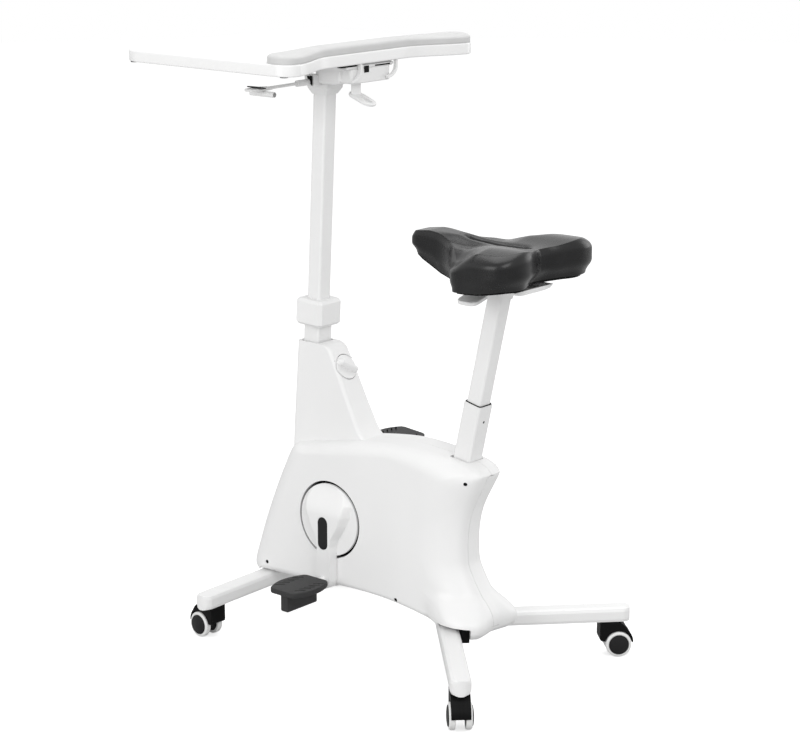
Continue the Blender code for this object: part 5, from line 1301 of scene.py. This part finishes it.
    def strip(self) -> Mesh:
        """The strip that closes the back: the rear edge's curve with a slight bulge across.

        Returns:
            The strip.
        """
        curve = spline(self.edges[2], self.counts[2] + 1)[slice(*self.strip_span)]
        ahead = np.gradient(curve, axis=0)
        normal = np.column_stack([-ahead[:, 1], ahead[:, 0]])
        normal /= np.linalg.norm(normal, axis=1)[:, None]
        share = np.linspace(-1, 1, 11)
        lift = self.strip_bulge * np.sqrt(1 - share**2)
        outer = curve[:, None, :] + normal[:, None, :] * lift[None, :, None]
        inner = np.broadcast_to((curve - normal * self.strip_wall)[:, None, :], outer.shape)
        x = np.where(share < -0.99, -self.strip_half - self.strip_gap, share * self.strip_half)
        x = np.broadcast_to(x, outer.shape[:2])
        return grid_mesh(np.concatenate([np.dstack([x, outer]), np.dstack([x, inner])[:, ::-1]], axis=1))

    def screwed(self, side: int, shell: Mesh) -> tuple[Mesh, Mesh]:
        """A shell with recesses cut square to its flank, and black screws at their bottoms, which also paint
        the shade deep inside the recesses.

        Args:
            side: 1 for the left, -1 for the right.
            shell: the half shell.

        Returns:
            The drilled shell and its screws.
        """
        tree = BVHTree.FromPolygons([v.co for v in shell.vertices], [p.vertices for p in shell.polygons])
        hits = [tree.ray_cast(Vector((side * 0.12, y, z)), Vector((-side, 0, 0)))[:2] for y, z in self.screws]
        r = self.screw_radius
        drill = [(0.0, -0.006), (r, -0.006), (r, 0.006), (0.0, 0.006)]
        # The plug stands for the screw and paints the shade inside the recess, only 1.2 mm below the surface.
        plug = [(0.0, -0.0055), (r * 0.98, -0.0055), (r * 0.98, -0.0012), (r * 0.6, -0.0012),
                (r * 0.5, -0.0020), (0.0, -0.0020)]
        shell = carve(shell, joined(lathe(drill, *hit, 28) for hit in hits))
        return shell, joined(lathe(plug, *hit, 28) for hit in hits)

    def pieces(self) -> Iterable[Piece]:
        """Every piece of the housing.

        Returns:
            Twelve pieces.
        """
        for side, word in ((1, "left"), (-1, "right")):
            shell, screws = self.screwed(side, self.shell(side))
            yield Piece(screws, f"{word}_housing_screws", Finish.BLACK, "frame")
            yield Piece(shell, f"{word}_housing", Finish.WHITE, "frame", (f"{word}_shell",), 32.0)
            # Painted shade: a black disc deep in the crank opening darkens the gap round the crank's disc.
            floor = round_outline(self.crank_opening - 0.0002, self.crank_place)
            depths = [side * (self.opening_depth + thick) for thick in (-0.001, 0.001)]
            yield Piece(slab(floor, 0, *depths), f"{word}_opening_floor", Finish.BLACK, "frame")
        # Painted shade: a black block in the gap beside the left leg's top, under the shell, which lies in
        # shadow.
        ring = box_outline(0.018, 0.036, 0.002, (0.0305, 0.0962))
        yield Piece(self.along_leg(1, ring, 0.05, 0.112), "left_leg_gap_shade", Finish.BLACK, "frame")
        # Painted shade: black rings in the shaded gaps about the seat tube and the column.
        yield Piece(SEAT.ring(), "seat_tube_gap_shade", Finish.BLACK, "frame")
        yield Piece(COLUMN.ring(), "column_gap_shade", Finish.BLACK, "frame")
        yield from self.seat_tube_mouth()
        yield Piece(self.strip(), "rear_strip", Finish.WHITE, "frame", ("rear_cover",), 40.0)


# Neck and dial


@dataclass(frozen=True)
class DialFace:
    """The neck's sloped face, on which the dial stands."""

    place: tuple[float, float, float] = (0.0, -0.10185, 0.57300)
    slope: float = 0.594

    def matrix(self) -> Matrix:
        """From the dial's own axes, with z out of its face, to the machine."""
        return Matrix.Translation(self.place) @ Matrix.Rotation(math.atan(self.slope) - QUARTER, 4, "X")


DIAL_FACE = DialFace()


@dataclass
class Neck(Assembly):
    """The housing's neck, which rises about the column from a flared root to a curled shoulder."""

    foot_z: float = 0.350
    knee_z: float = 0.457
    knee_round: float = 0.0245
    shoulder_z: float = 0.604
    shoulder_round: float = 0.0140
    back: tuple = ((0.457, -0.0420), (0.505, -0.0675), (0.550, -0.0890), (0.580, -0.1052), (0.604, -0.1175),
                   (0.620, -0.1235))
    front: Pair = (-0.2245, 0.387)
    front_slope: float = 0.0538
    face_foot: Pair = (-0.121, 0.590)
    curl: float = 0.022
    root_flare: float = 0.037
    half_widths: tuple = ((0.432, 0.0335), (0.618, 0.0285))
    corner: float = 0.009
    dial_hole: float = 0.0276

    def heights(self) -> Array:
        """The sections' heights, closer together at the knee and the shoulder.

        Returns:
            The heights, from the foot up.
        """
        below = self.knee_z - self.knee_round * (1 - np.cos(np.linspace(0, QUARTER, 14)))[::-1]
        above = self.shoulder_z + self.shoulder_round * np.sin(np.linspace(0, QUARTER, 10))
        steps = np.linspace(self.knee_z + 0.007, self.shoulder_z - 0.004, 18)
        return np.concatenate([[self.foot_z, 0.400, 0.425], below, steps, above])

    def rear(self, z: Array) -> Array:
        """The back's y: through its own points, less the shoulder's curl; below the knee it flares.

        curl = c (1 - sqrt(1 - u^2)) above the shoulder and flare = f (1 - sqrt(1 - d^2)) below the knee.

        Args:
            z: the sections' heights.

        Returns:
            The y of each section's back.
        """
        past = ((z - self.shoulder_z) / 0.0145).clip(0, 1)
        back = np.interp(z, *np.transpose(self.back)) - self.curl * (1 - np.sqrt(1 - past**2))
        drop = ((self.knee_z - z) / 0.025).clip(0, 1)
        knee = self.face_foot[0] + (self.face_foot[1] - self.knee_z) * DIAL_FACE.slope
        flare = knee + self.root_flare * (1 - np.sqrt(1 - drop**2))
        flare = flare + DIAL_FACE.slope * (self.knee_z - z) * (1 - drop)
        return np.where(z < self.knee_z - 1e-9, flare, back)

    def pieces(self) -> Iterable[Piece]:
        """The neck, opened at its top for the column and in its face for the dial.

        Returns:
            One piece.
        """
        heights = self.heights()
        front = self.front[0] + (heights - self.front[1]) * self.front_slope
        halves = np.interp(heights, *np.transpose(self.half_widths))
        turn, r = np.linspace(0, QUARTER, 8), self.corner
        rows = []
        for z, near, far, half in zip(heights, front, self.rear(heights), halves):
            front_arc = circling(turn - QUARTER) * r + (half - r, near + r)
            right = np.vstack([front_arc, circling(turn) * r + (half - r, far - r)])
            rows.append(lifted(np.vstack([right, right[::-1] * (-1, 1)]), 2, z))
        mesh = COLUMN.channelled(COLUMN.holed(grid_mesh(np.stack(rows)), 0.41, 0.48))
        mesh = carve(mesh, turned(slab(round_outline(self.dial_hole), 2, -0.006, 0.02), DIAL_FACE.matrix()))
        yield Piece(mesh, "neck", Finish.WHITE, "frame", (), 34.0)


@dataclass
class Dial(Assembly):
    """The resistance dial: a plate with a raised grip bar, and dots on the neck."""

    radius: float = 0.0264
    face: float = 0.002
    edge: float = 0.0012
    grip_width: float = 0.013
    grip_length: float = 0.0498
    grip_height: float = 0.0158
    grip_turn: float = math.radians(52)
    grip_levels: tuple = ((0.0, 0.0), (0.0, 0.6), (0.0012, 0.8), (0.0030, 0.93), (0.0052, 1.0))
    stub_radius: float = 0.006
    dots: int = 9
    dot_span: Pair = (-165, -35)
    dot_radius: float = 0.0009
    dot_ring: float = 0.0305

    def pieces(self) -> Iterable[Piece]:
        """The plate with its grip, and the dots.

        Returns:
            Two pieces.
        """
        plate = slab(round_outline(self.radius, count=96), 2, -0.0040, self.face, 0.0, self.edge)
        bar = bar_outline(self.grip_width, self.grip_length, count=16)
        rows = [lifted(shrunk(bar, inset) * (1.0, 1.0 - 0.10 * rise), 2, rise * self.grip_height)
                for inset, rise in self.grip_levels]
        grip = turned(grid_mesh(np.stack(rows)), Matrix.Rotation(self.grip_turn, 4, "Z"))
        stub = slab(round_outline(self.stub_radius, count=24), 2, -0.016, -0.003)
        mesh = turned(joined([plate, grip, stub]), DIAL_FACE.matrix())
        yield Piece(mesh, "dial_plate", Finish.WHITE, "dial", ("resistance_dial",), 50.0)
        spots = circling(np.radians(np.linspace(*self.dot_span, self.dots))) * self.dot_ring
        dots = joined(slab(round_outline(self.dot_radius, spot, 14), 2, -0.0005, 0.00025) for spot in spots)
        yield Piece(turned(dots, DIAL_FACE.matrix()), "dial_dots", Finish.MARK, "frame")


# Cranks and pedals


@dataclass
class Crank(Assembly):
    """A crank's disc, flared arm and cap, mirrored and turned half round on the right."""

    place: tuple[float, float, float] = (0.0, -0.096, 0.261)
    disc_radius: float = 0.0765
    disc_face: float = 0.0635
    disc_back: float = 0.0575
    arm_face: float = 0.083
    arm_back: float = 0.066
    arm_half: float = 0.0205
    arm_top: float = 0.0735
    arm_sink: float = 0.0008
    arm_fade: Pair = (0.079, -0.066)
    disc_foot: float = -0.070
    disc_edge: float = -0.062
    length: float = 0.125
    cap_width: float = 0.0252
    cap_length: float = 0.0692
    cap_middle: float = -0.025
    cap_gap: float = 0.0012
    cap_rise: float = 0.0006
    flare: tuple = ((-0.125, 0.0205), (-0.066, 0.0205), (-0.052, 0.0225), (-0.038, 0.0285), (-0.022, 0.0400),
                    (-0.004, 0.0520), (0.015, 0.0600), (0.040, 0.0640), (0.060, 0.0560), (0.0735, 0.0300))
    softness: tuple = ((-0.070, 0.0022), (-0.035, 0.011), (0.0, 0.016))
    spindle_radius: float = 0.007
    spindle_end: float = 0.186

    def arm(self) -> Mesh:
        """The arm as a raised form over the disc.

        x = base + rise(z) (1 - ease((|y| - half(z) + soft(z)) / soft(z))), with rise growing from the disc's
        top and half flaring from the arm's width to the disc's.

        Returns:
            The arm, with the axle at the origin.
        """
        lower = -self.length - self.arm_half * np.sin(np.linspace(QUARTER, 0, 14))
        shaft = np.linspace(-self.length + 0.002, self.disc_edge, 16)
        z = np.concatenate([lower, shaft, np.linspace(self.disc_edge + 0.002, self.arm_top, 60)])
        half = np.interp(z, *np.transpose(self.flare))
        end = (-self.length - z).clip(0, self.arm_half)
        half = np.where(z < -self.length, np.sqrt(np.maximum(self.arm_half**2 - end**2, 1e-8)), half)
        soft = np.minimum(np.interp(z, *np.transpose(self.softness)), half)
        limit = np.sqrt(np.maximum((self.disc_radius - 0.0012) ** 2 - z**2, 1e-8))
        reach = np.minimum(half, np.maximum(limit, self.arm_half))
        reach = np.where(z < self.disc_foot, half, reach)
        rise = (self.arm_face - self.disc_face + self.arm_sink) * step(z, *self.arm_fade)
        across = np.sin(np.linspace(-1, 1, 81) * QUARTER)
        y = reach[:, None] * across
        fall = 1 - ease((np.abs(y) - np.maximum(half - soft, 0.0)[:, None]) / soft[:, None])
        z = np.broadcast_to(z[:, None], y.shape)
        fall = np.where(z < self.disc_edge, 0.12 + 0.88 * fall, fall)
        x = self.disc_face - self.arm_sink + rise[:, None] * fall
        x = np.where(np.abs(across) > 1 - 1e-6, self.disc_face - 0.0012, x)
        front = np.dstack([x, y, z])
        back = front[:, [-1, 0]] * (0, 1, 1) + (self.disc_face - 0.003, 0, 0)
        back[..., 0] = np.where(z[:, :1] < self.disc_foot, self.arm_back, back[..., 0])
        return grid_mesh(np.concatenate([front, back], axis=1))

    def crank(self) -> Mesh:
        """The left crank about its axle, with the pedal's spindle and a recess for the cap.

        Returns:
            The crank, with the axle at the origin.
        """
        width, length = self.cap_width + self.cap_gap, self.cap_length + self.cap_gap
        recess = bar_outline(width, length, (0.0, self.cap_middle))
        spindle = round_outline(self.spindle_radius, (0.0, -self.length), 32)
        return joined([
            carve(self.arm(), slab(recess, 0, self.arm_face - 0.0022, self.arm_face + 0.01)),
            slab(round_outline(self.disc_radius, count=120), 0, self.disc_back, self.disc_face, 0.0, 0.0012),
            slab(round_outline(0.030, count=48), 0, self.disc_face - 0.001, self.arm_back + 0.002),
            slab(spindle, 0, self.arm_face - 0.004, self.spindle_end, 0.0, 0.001),
            slab(round_outline(0.018, count=40), 0, 0.047, self.disc_back + 0.002),
        ])

    def pieces(self) -> Iterable[Piece]:
        """Both cranks and their caps.

        Returns:
            Four pieces.
        """
        plan = bar_outline(self.cap_width, self.cap_length, (0.0, self.cap_middle))
        for side, word in ((1, "left"), (-1, "right")):
            cap = slab(plan, 0, self.arm_face - 0.0020, self.arm_face + self.cap_rise, 0.0, 0.0010)
            place = Matrix.Translation(self.place) @ Matrix.Diagonal((side, side, side, 1))
            crank = turned(self.crank(), place)
            yield Piece(crank, f"{word}_crank_cover", Finish.WHITE, "crank", (f"{word}_crank",), 40.0)
            cap = turned(cap, place)
            yield Piece(cap, f"{word}_crank_plug", Finish.HUB, "crank", (f"{word}_crank_cap",), 50.0)


@dataclass
class Pedals(Assembly):
    """The treads with their slots, each over a deep weighted keel."""

    arm_face: float = 0.083
    axle_y: float = -0.096
    axle_z: Pair = (0.136, 0.386)
    gap: float = 0.018
    length: float = 0.108
    half: float = 0.047
    end_half: float = 0.030
    thickness: float = 0.010
    drop: float = 0.038
    keel_width: float = 0.021
    keel_length: float = 0.090
    keel_inset: float = 0.010
    slots: int = 5
    slot_length: float = 0.024
    slot_width: float = 0.0030
    slot_depth: float = 0.0040
    slot_step: float = 0.0140
    slot_lean: float = math.radians(-48)
    slot_row: float = 0.029
    rolls: Pair = (0.0, math.radians(-5))

    def plan(self) -> Array:
        """The tread's outline: straight ends, chamfer-like corners and bowed long sides.

        Returns:
            Rows of x and y.
        """
        share = np.linspace(0, 1, 61)
        bow = self.end_half + (self.half - self.end_half) * np.sin(math.pi * share) ** 0.8
        bow *= np.interp(share, [0.0, 0.035, 0.965, 1.0], [0.86, 1.0, 1.0, 0.86])
        x = share * self.length
        return np.vstack([np.column_stack([x, -bow]), np.column_stack([x, bow])[::-1]]) + (self.gap, 0.0)

    def slot_tools(self) -> Iterable[Mesh]:
        """The slanted slots along both long edges, as cutters.

        Returns:
            One cutter for each slot.
        """
        plan = bar_outline(self.slot_width, self.slot_length, count=7)
        for row in (-1, 1):
            for k in range(self.slots):
                x = self.gap + self.length / 2 + (k - (self.slots - 1) / 2) * self.slot_step
                place = Matrix.Translation((x, row * self.slot_row, 0.0))
                place = place @ Matrix.Rotation(-self.slot_lean, 4, "Z")
                yield turned(slab(plan, 2, self.thickness - self.slot_depth, self.thickness + 0.004), place)

    def pieces(self) -> Iterable[Piece]:
        """Both pedals.

        Returns:
            Two pieces.
        """
        middle = self.gap + self.keel_inset + self.keel_length / 2
        keel = box_outline(self.keel_length, self.keel_width, 0.004, (middle, 0.0))
        for side, word, z, roll in zip((1, -1), ("left", "right"), self.axle_z, self.rolls):
            tread = slab(self.plan(), 2, -0.001, self.thickness, 0.0015, 0.0018)
            tread = carve(tread, joined(self.slot_tools()))
            pedal = joined([tread, slab(keel, 2, -self.drop, 0.002, 0.0035)])
            place = Matrix.Translation((side * self.arm_face, self.axle_y, z)) @ Matrix.Rotation(roll, 4, "X")
            pedal = turned(pedal, place @ Matrix.Diagonal((side, 1, 1, 1)))
            yield Piece(pedal, f"{word}_tread", Finish.GREY, f"{word}_pedal", (f"{word}_pedal",), 35.0)


# Casters


@dataclass
class Caster(Assembly):
    """One twin-wheel caster: its hood, hubs and two tyres."""

    name: str
    stem: Pair
    heading: float
    height: float = 0.0735
    wheel: float = 0.027
    tyre_radius: float = 0.0266
    near_shoulder: float = 0.0022
    far_shoulder: float = 0.0036
    tread: float = 0.0124
    inner: float = 0.010
    hub: float = 0.0205
    dome: float = 0.0018
    trail: float = 0.030
    hood_width: float = 0.038
    hood_edge: float = 0.0009
    web: float = 0.008
    well: float = 0.0012
    axle_boss: float = 0.0085
    stem_radius: float = 0.005
    stem_length: float = 0.020
    front: tuple = ((-0.0090, 0.055), (-0.0090, 0.0405), (-0.0076, 0.0362), (-0.003, 0.0335))
    arch: tuple = ((0.0, 0.0300), (0.9, 0.0342), (1.5, 0.0455))

    def hood_sides(self) -> tuple[Array, Array]:
        """Side views of the hood: the web between the wheels, and the fender that arches over each wheel.

        Returns:
            The outline of the web and that of a fender.
        """
        top, t, axle = self.height - 0.0004, self.trail, (self.trail, self.wheel)
        block = [(-0.0075, top), (-0.0088, top - 0.0014), *self.front]
        boss = circling(np.linspace(math.pi, 2 * math.pi, 12)) * self.axle_boss + axle
        well = circling(np.linspace(math.pi - 0.2326, 0.105, 40)) * (self.wheel + self.well) + axle
        turn = np.linspace(math.radians(6), math.radians(84), 22)
        fender = circling(turn) * np.interp(turn, *np.transpose(self.arch))[:, None] + axle
        fender = fender[fender[:, 1] < top - 0.0008]
        over = np.vstack([[(t + 0.0294, 0.0300)], fender, [(t + 0.0050, top - 0.0003), (t - 0.004, top)]])
        web = [(0.008, 0.0312), (0.0150, 0.0300)]
        rise = [(t + 0.0095, self.wheel + 0.002), (t + 0.020, 0.0305)]
        return np.vstack([block, web, boss, rise, over]), np.vstack([block, well, over])

    def hood(self) -> Mesh:
        """The hood's web, its two fenders and the stem.

        Returns:
            The hood.
        """
        half, web = self.hood_width / 2, self.web / 2
        side, fender = self.hood_sides()
        stem = round_outline(self.stem_radius, count=24)
        return joined([
            slab(side, 1, -web, web),
            slab(fender, 1, web - 0.0005, half, 0.0, self.hood_edge),
            slab(fender, 1, -half, 0.0005 - web, self.hood_edge),
            slab(stem, 2, self.height - 0.006, self.height + self.stem_length, 0.0, 0.001),
        ])

    def about_axle(self, profile: Sequence, count: int) -> Mesh:
        """A profile turned about the wheels' axle."""
        return lathe(profile, (self.trail, 0.0, self.wheel), (0.0, 1.0, 0.0), count)

    def hubs(self) -> Mesh:
        """Both hub discs on their axle: a rim, a fine step and a slightly domed face.

        Returns:
            Both discs.
        """
        start, end, r = self.inner + 0.0005, self.inner + self.tread, self.hub
        share = np.arange(11) / 10
        bulge = self.dome * np.sin(share * QUARTER)
        dome = np.column_stack([r - 0.0022 - 0.018 * share, end + 0.0022 + bulge])
        face = np.vstack([[(0.003, start), (r, start), (r, end + 0.0008), (r - 0.0008, end + 0.0018),
                           (r - 0.0016, end + 0.0016)], dome, [(0.0, dome[-1, 1])]])
        return self.about_axle(np.vstack([face[::-1] * (1, -1), face]), 64)

    def tyre(self, side: int) -> Mesh:
        """A tyre ring with round shoulders and a shallow bead against the hub.

        Args:
            side: 1 or -1 along the axle.

        Returns:
            The tyre.
        """
        start, end, inside, r = self.inner, self.inner + self.tread, self.hub + 0.0002, self.tyre_radius
        turn = np.linspace(0, QUARTER, 7)
        round_near, round_far = self.near_shoulder, self.far_shoulder
        near = circling(turn - QUARTER) * round_near + (r - round_near, start + round_near)
        far = circling(turn) * round_far + (r - round_far, end - round_far)
        bead = [(self.hub + 0.0018, end + 0.0001), (inside, end - 0.0004)]
        profile = np.vstack([[(inside, start)], near, far, bead, [(inside, start)]])
        return self.about_axle(profile * (1, side), 72)

    def pieces(self) -> Iterable[Piece]:
        """The hood, the hubs and both tyres.

        Returns:
            Four pieces.
        """
        name, rolling = self.name, self.name + "_wheels"
        place = Matrix.Translation((*self.stem, 0.0)) @ Matrix.Rotation(self.heading, 4, "Z")
        yield Piece(turned(self.hood(), place), name + "_cover", Finish.BLACK, name, (name + "_hood",), 35.0)
        yield Piece(turned(self.hubs(), place), name + "_discs", Finish.HUB, rolling, (name + "_hubs",), 35.0)
        for side, letter in ((-1, "a"), (1, "b")):
            tyre, node = turned(self.tyre(side), place), f"{name}_tyre_{letter}"
            yield Piece(tyre, f"{name}_ring_{letter}", Finish.TREAD, rolling, (node,), 40.0)


CASTERS = {
    "front_left_caster": (0.211484, -0.282484, -95.0),
    "front_right_caster": (-0.211484, -0.282484, 275.0),
    "rear_left_caster": (0.234644, 0.387616, 43.8),
    "rear_right_caster": (-0.234644, 0.387616, 136.2),
}


# The solids that keep their shape

SOLIDS = {
    Finish.BLACK: ("drive_pulley", "left_crank_cap", "right_crank_cap", "brake_cable", "desk_gas_cylinder",
                   "seat_gas_cylinder", "saddle_base"),
    Finish.WHITE: ("column_collar", "left_shell", "right_shell", "rear_cover", "left_crank", "right_crank",
                   "resistance_dial", "seat_lever"),
    Finish.GREY: ("left_pedal", "right_pedal"),
    Finish.STEEL: ("crank_axle", "flywheel_axle", "magnet_bracket", "desk_gas_rod", "seat_gas_rod"),
    Finish.BOARD: ("desktop",),
    Finish.PAD: ("wrist_rest",),
    Finish.LEATHER: ("saddle_cushion",),
    Finish.IRON: ("flywheel",),
    Finish.BELT: ("drive_belt",),
}


@dataclass
class KeptSolids:
    """Gives each solid of the frame its finish."""

    def finish_of(self, node: str) -> Finish:
        """The finish of a solid by its name.

        Args:
            node: the solid's name.

        Returns:
            Its finish.
        """
        if "caster" in node:
            return Finish.TREAD if "_tyre" in node else Finish.BLACK
        return next((finish for finish, nodes in SOLIDS.items() if node in nodes), Finish.PAINT)

    def build(self) -> list[bpy.types.Object]:
        """Dress every solid, and return them.

        Returns:
            The solids.
        """
        for name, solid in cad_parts.items():
            solid.data.materials.clear()
            solid.data.materials.append(material_of(self.finish_of(name)))
        return list(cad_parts.values())


# Studio


@dataclass
class Studio:
    """Camera, floor and lights."""

    camera_place: tuple[float, float, float] = (3.399, 2.9252, 1.7153)
    camera_aim: tuple[float, float, float] = (-0.2472, -0.167, 0.4967)
    lamp_aim: tuple[float, float, float] = (0.0, 0.0, 0.6)
    lens: float = 103.05
    world_light: float = 0.62
    floor_radius: float = 12.0
    floor_glow: float = 0.62
    floor_seen: float = 0.66
    floor_lit: float = 0.58
    lamps: tuple = (
        ("key_light", (2.0, 3.4, 3.2), 2.6, 66.0),
        ("top_light", (-0.6, -0.4, 4.2), 3.0, 60.0),
        ("side_light", (-3.6, 1.6, 1.6), 2.4, 27.0),
        ("left_light", (4.4, -0.6, 1.9), 2.6, 64.0),
    )

    def aimed(
        self, name: str, data: object, place: Sequence[float], aim: Sequence[float]
    ) -> bpy.types.Object:
        """A camera or lamp that stands at a place and looks at another.

        Args:
            name: what it is called.
            data: the camera or lamp.
            place: where it stands.
            aim: where it looks.

        Returns:
            The object.
        """
        made = linked(name, data)
        made.location = place
        made.rotation_euler = (Vector(aim) - Vector(place)).to_track_quat("-Z", "Y").to_euler()
        return made

    def camera(self) -> None:
        """Stand the camera where the photograph was taken from."""
        data = bpy.data.cameras.new("photo_camera")
        data.lens = self.lens
        data.sensor_fit = "HORIZONTAL"
        data.clip_end = 50.0
        bpy.context.scene.camera = self.aimed("photo_camera", data, self.camera_place, self.camera_aim)

    def lamp(self, name: str, place: Sequence[float], size: float, power: float) -> None:
        """A square soft light of a side in metres and a power in watts, turned to the machine.

        Args:
            name: what it is called.
            place: where it stands.
            size: its side in metres.
            power: in watts.
        """
        data = bpy.data.lights.new(name, "AREA")
        data.shape, data.size, data.energy = "SQUARE", size, power
        self.aimed(name, data, place, self.lamp_aim)

    def world(self) -> None:
        """A white surround: white to the eye and in reflections, softer as a light."""
        world = bpy.data.worlds.new("studio")
        bpy.context.scene.world = world
        graph = Graph(world)
        white = (1.0, 1.0, 1.0, 1.0)
        shown = Signal(graph, graph.fill("Background", Color=white, Strength=1.0).outputs[0])
        light = graph.node("ShaderNodeBackground", {}, {"Color": white, "Strength": self.world_light})
        path = graph.node("ShaderNodeLightPath", {}, {}, "Is Camera Ray")
        seen = path.or_else(path.beside("Is Glossy Ray")).or_else(path.beside("Is Transmission Ray"))
        mixed = graph.node("ShaderNodeMixShader", {}, {0: seen, 1: light, 2: shown})
        graph.fill("World Output", Surface=mixed)

    def floor(self) -> None:
        """A round pale floor that stays white and keeps the machine's soft shadow."""
        ring = lifted(round_outline(self.floor_radius, count=96), 2, 0.0)
        mesh = bpy.data.meshes.new("studio_floor")
        mesh.from_pydata(ring.tolist(), [], [list(range(len(ring)))])
        graph = Graph(bpy.data.materials.new("studio_floor"))
        glow = graph.node("ShaderNodeEmission", {}, {"Color": (1, 1, 1, 1), "Strength": self.floor_glow})
        seen, lit = (
            graph.node("ShaderNodeBsdfDiffuse", {}, {"Color": (grey, grey, grey, 1)})
            for grey in (self.floor_seen, self.floor_lit)
        )
        both = graph.node("ShaderNodeAddShader", {}, {0: glow, 1: seen})
        path = graph.node("ShaderNodeLightPath", {}, {}, "Is Camera Ray")
        mixed = graph.node("ShaderNodeMixShader", {}, {0: path, 1: lit, 2: both})
        graph.fill("Material Output", Surface=mixed)
        mesh.materials.append(graph.owner)
        linked("studio_floor", mesh)

    def build(self) -> list[bpy.types.Object]:
        """Set up the whole studio, which adds no piece to the machine.

        Returns:
            An empty list.
        """
        self.camera()
        self.world()
        self.floor()
        for lamp in self.lamps:
            self.lamp(*lamp)
        bpy.context.scene.view_settings.view_transform = "Standard"
        return []


def main() -> None:
    """Build each assembly in order and report its pieces."""
    logging.basicConfig(level=logging.INFO, format="%(name)s: %(message)s")
    casters = [Caster(name, (x, y), math.radians(heading)) for name, (x, y, heading) in CASTERS.items()]
    parts = [Studio(), KeptSolids(), Housing(), Neck(), Dial(), Crank(), Pedals(), *casters]
    for part in (*parts, Board(), HeadDetails(), Saddle(), WristRest()):
        LOG.info("%s: %d pieces", type(part).__name__, len(part.build()))
    bpy.context.view_layer.update()


if __name__ == "__main__":
    main()
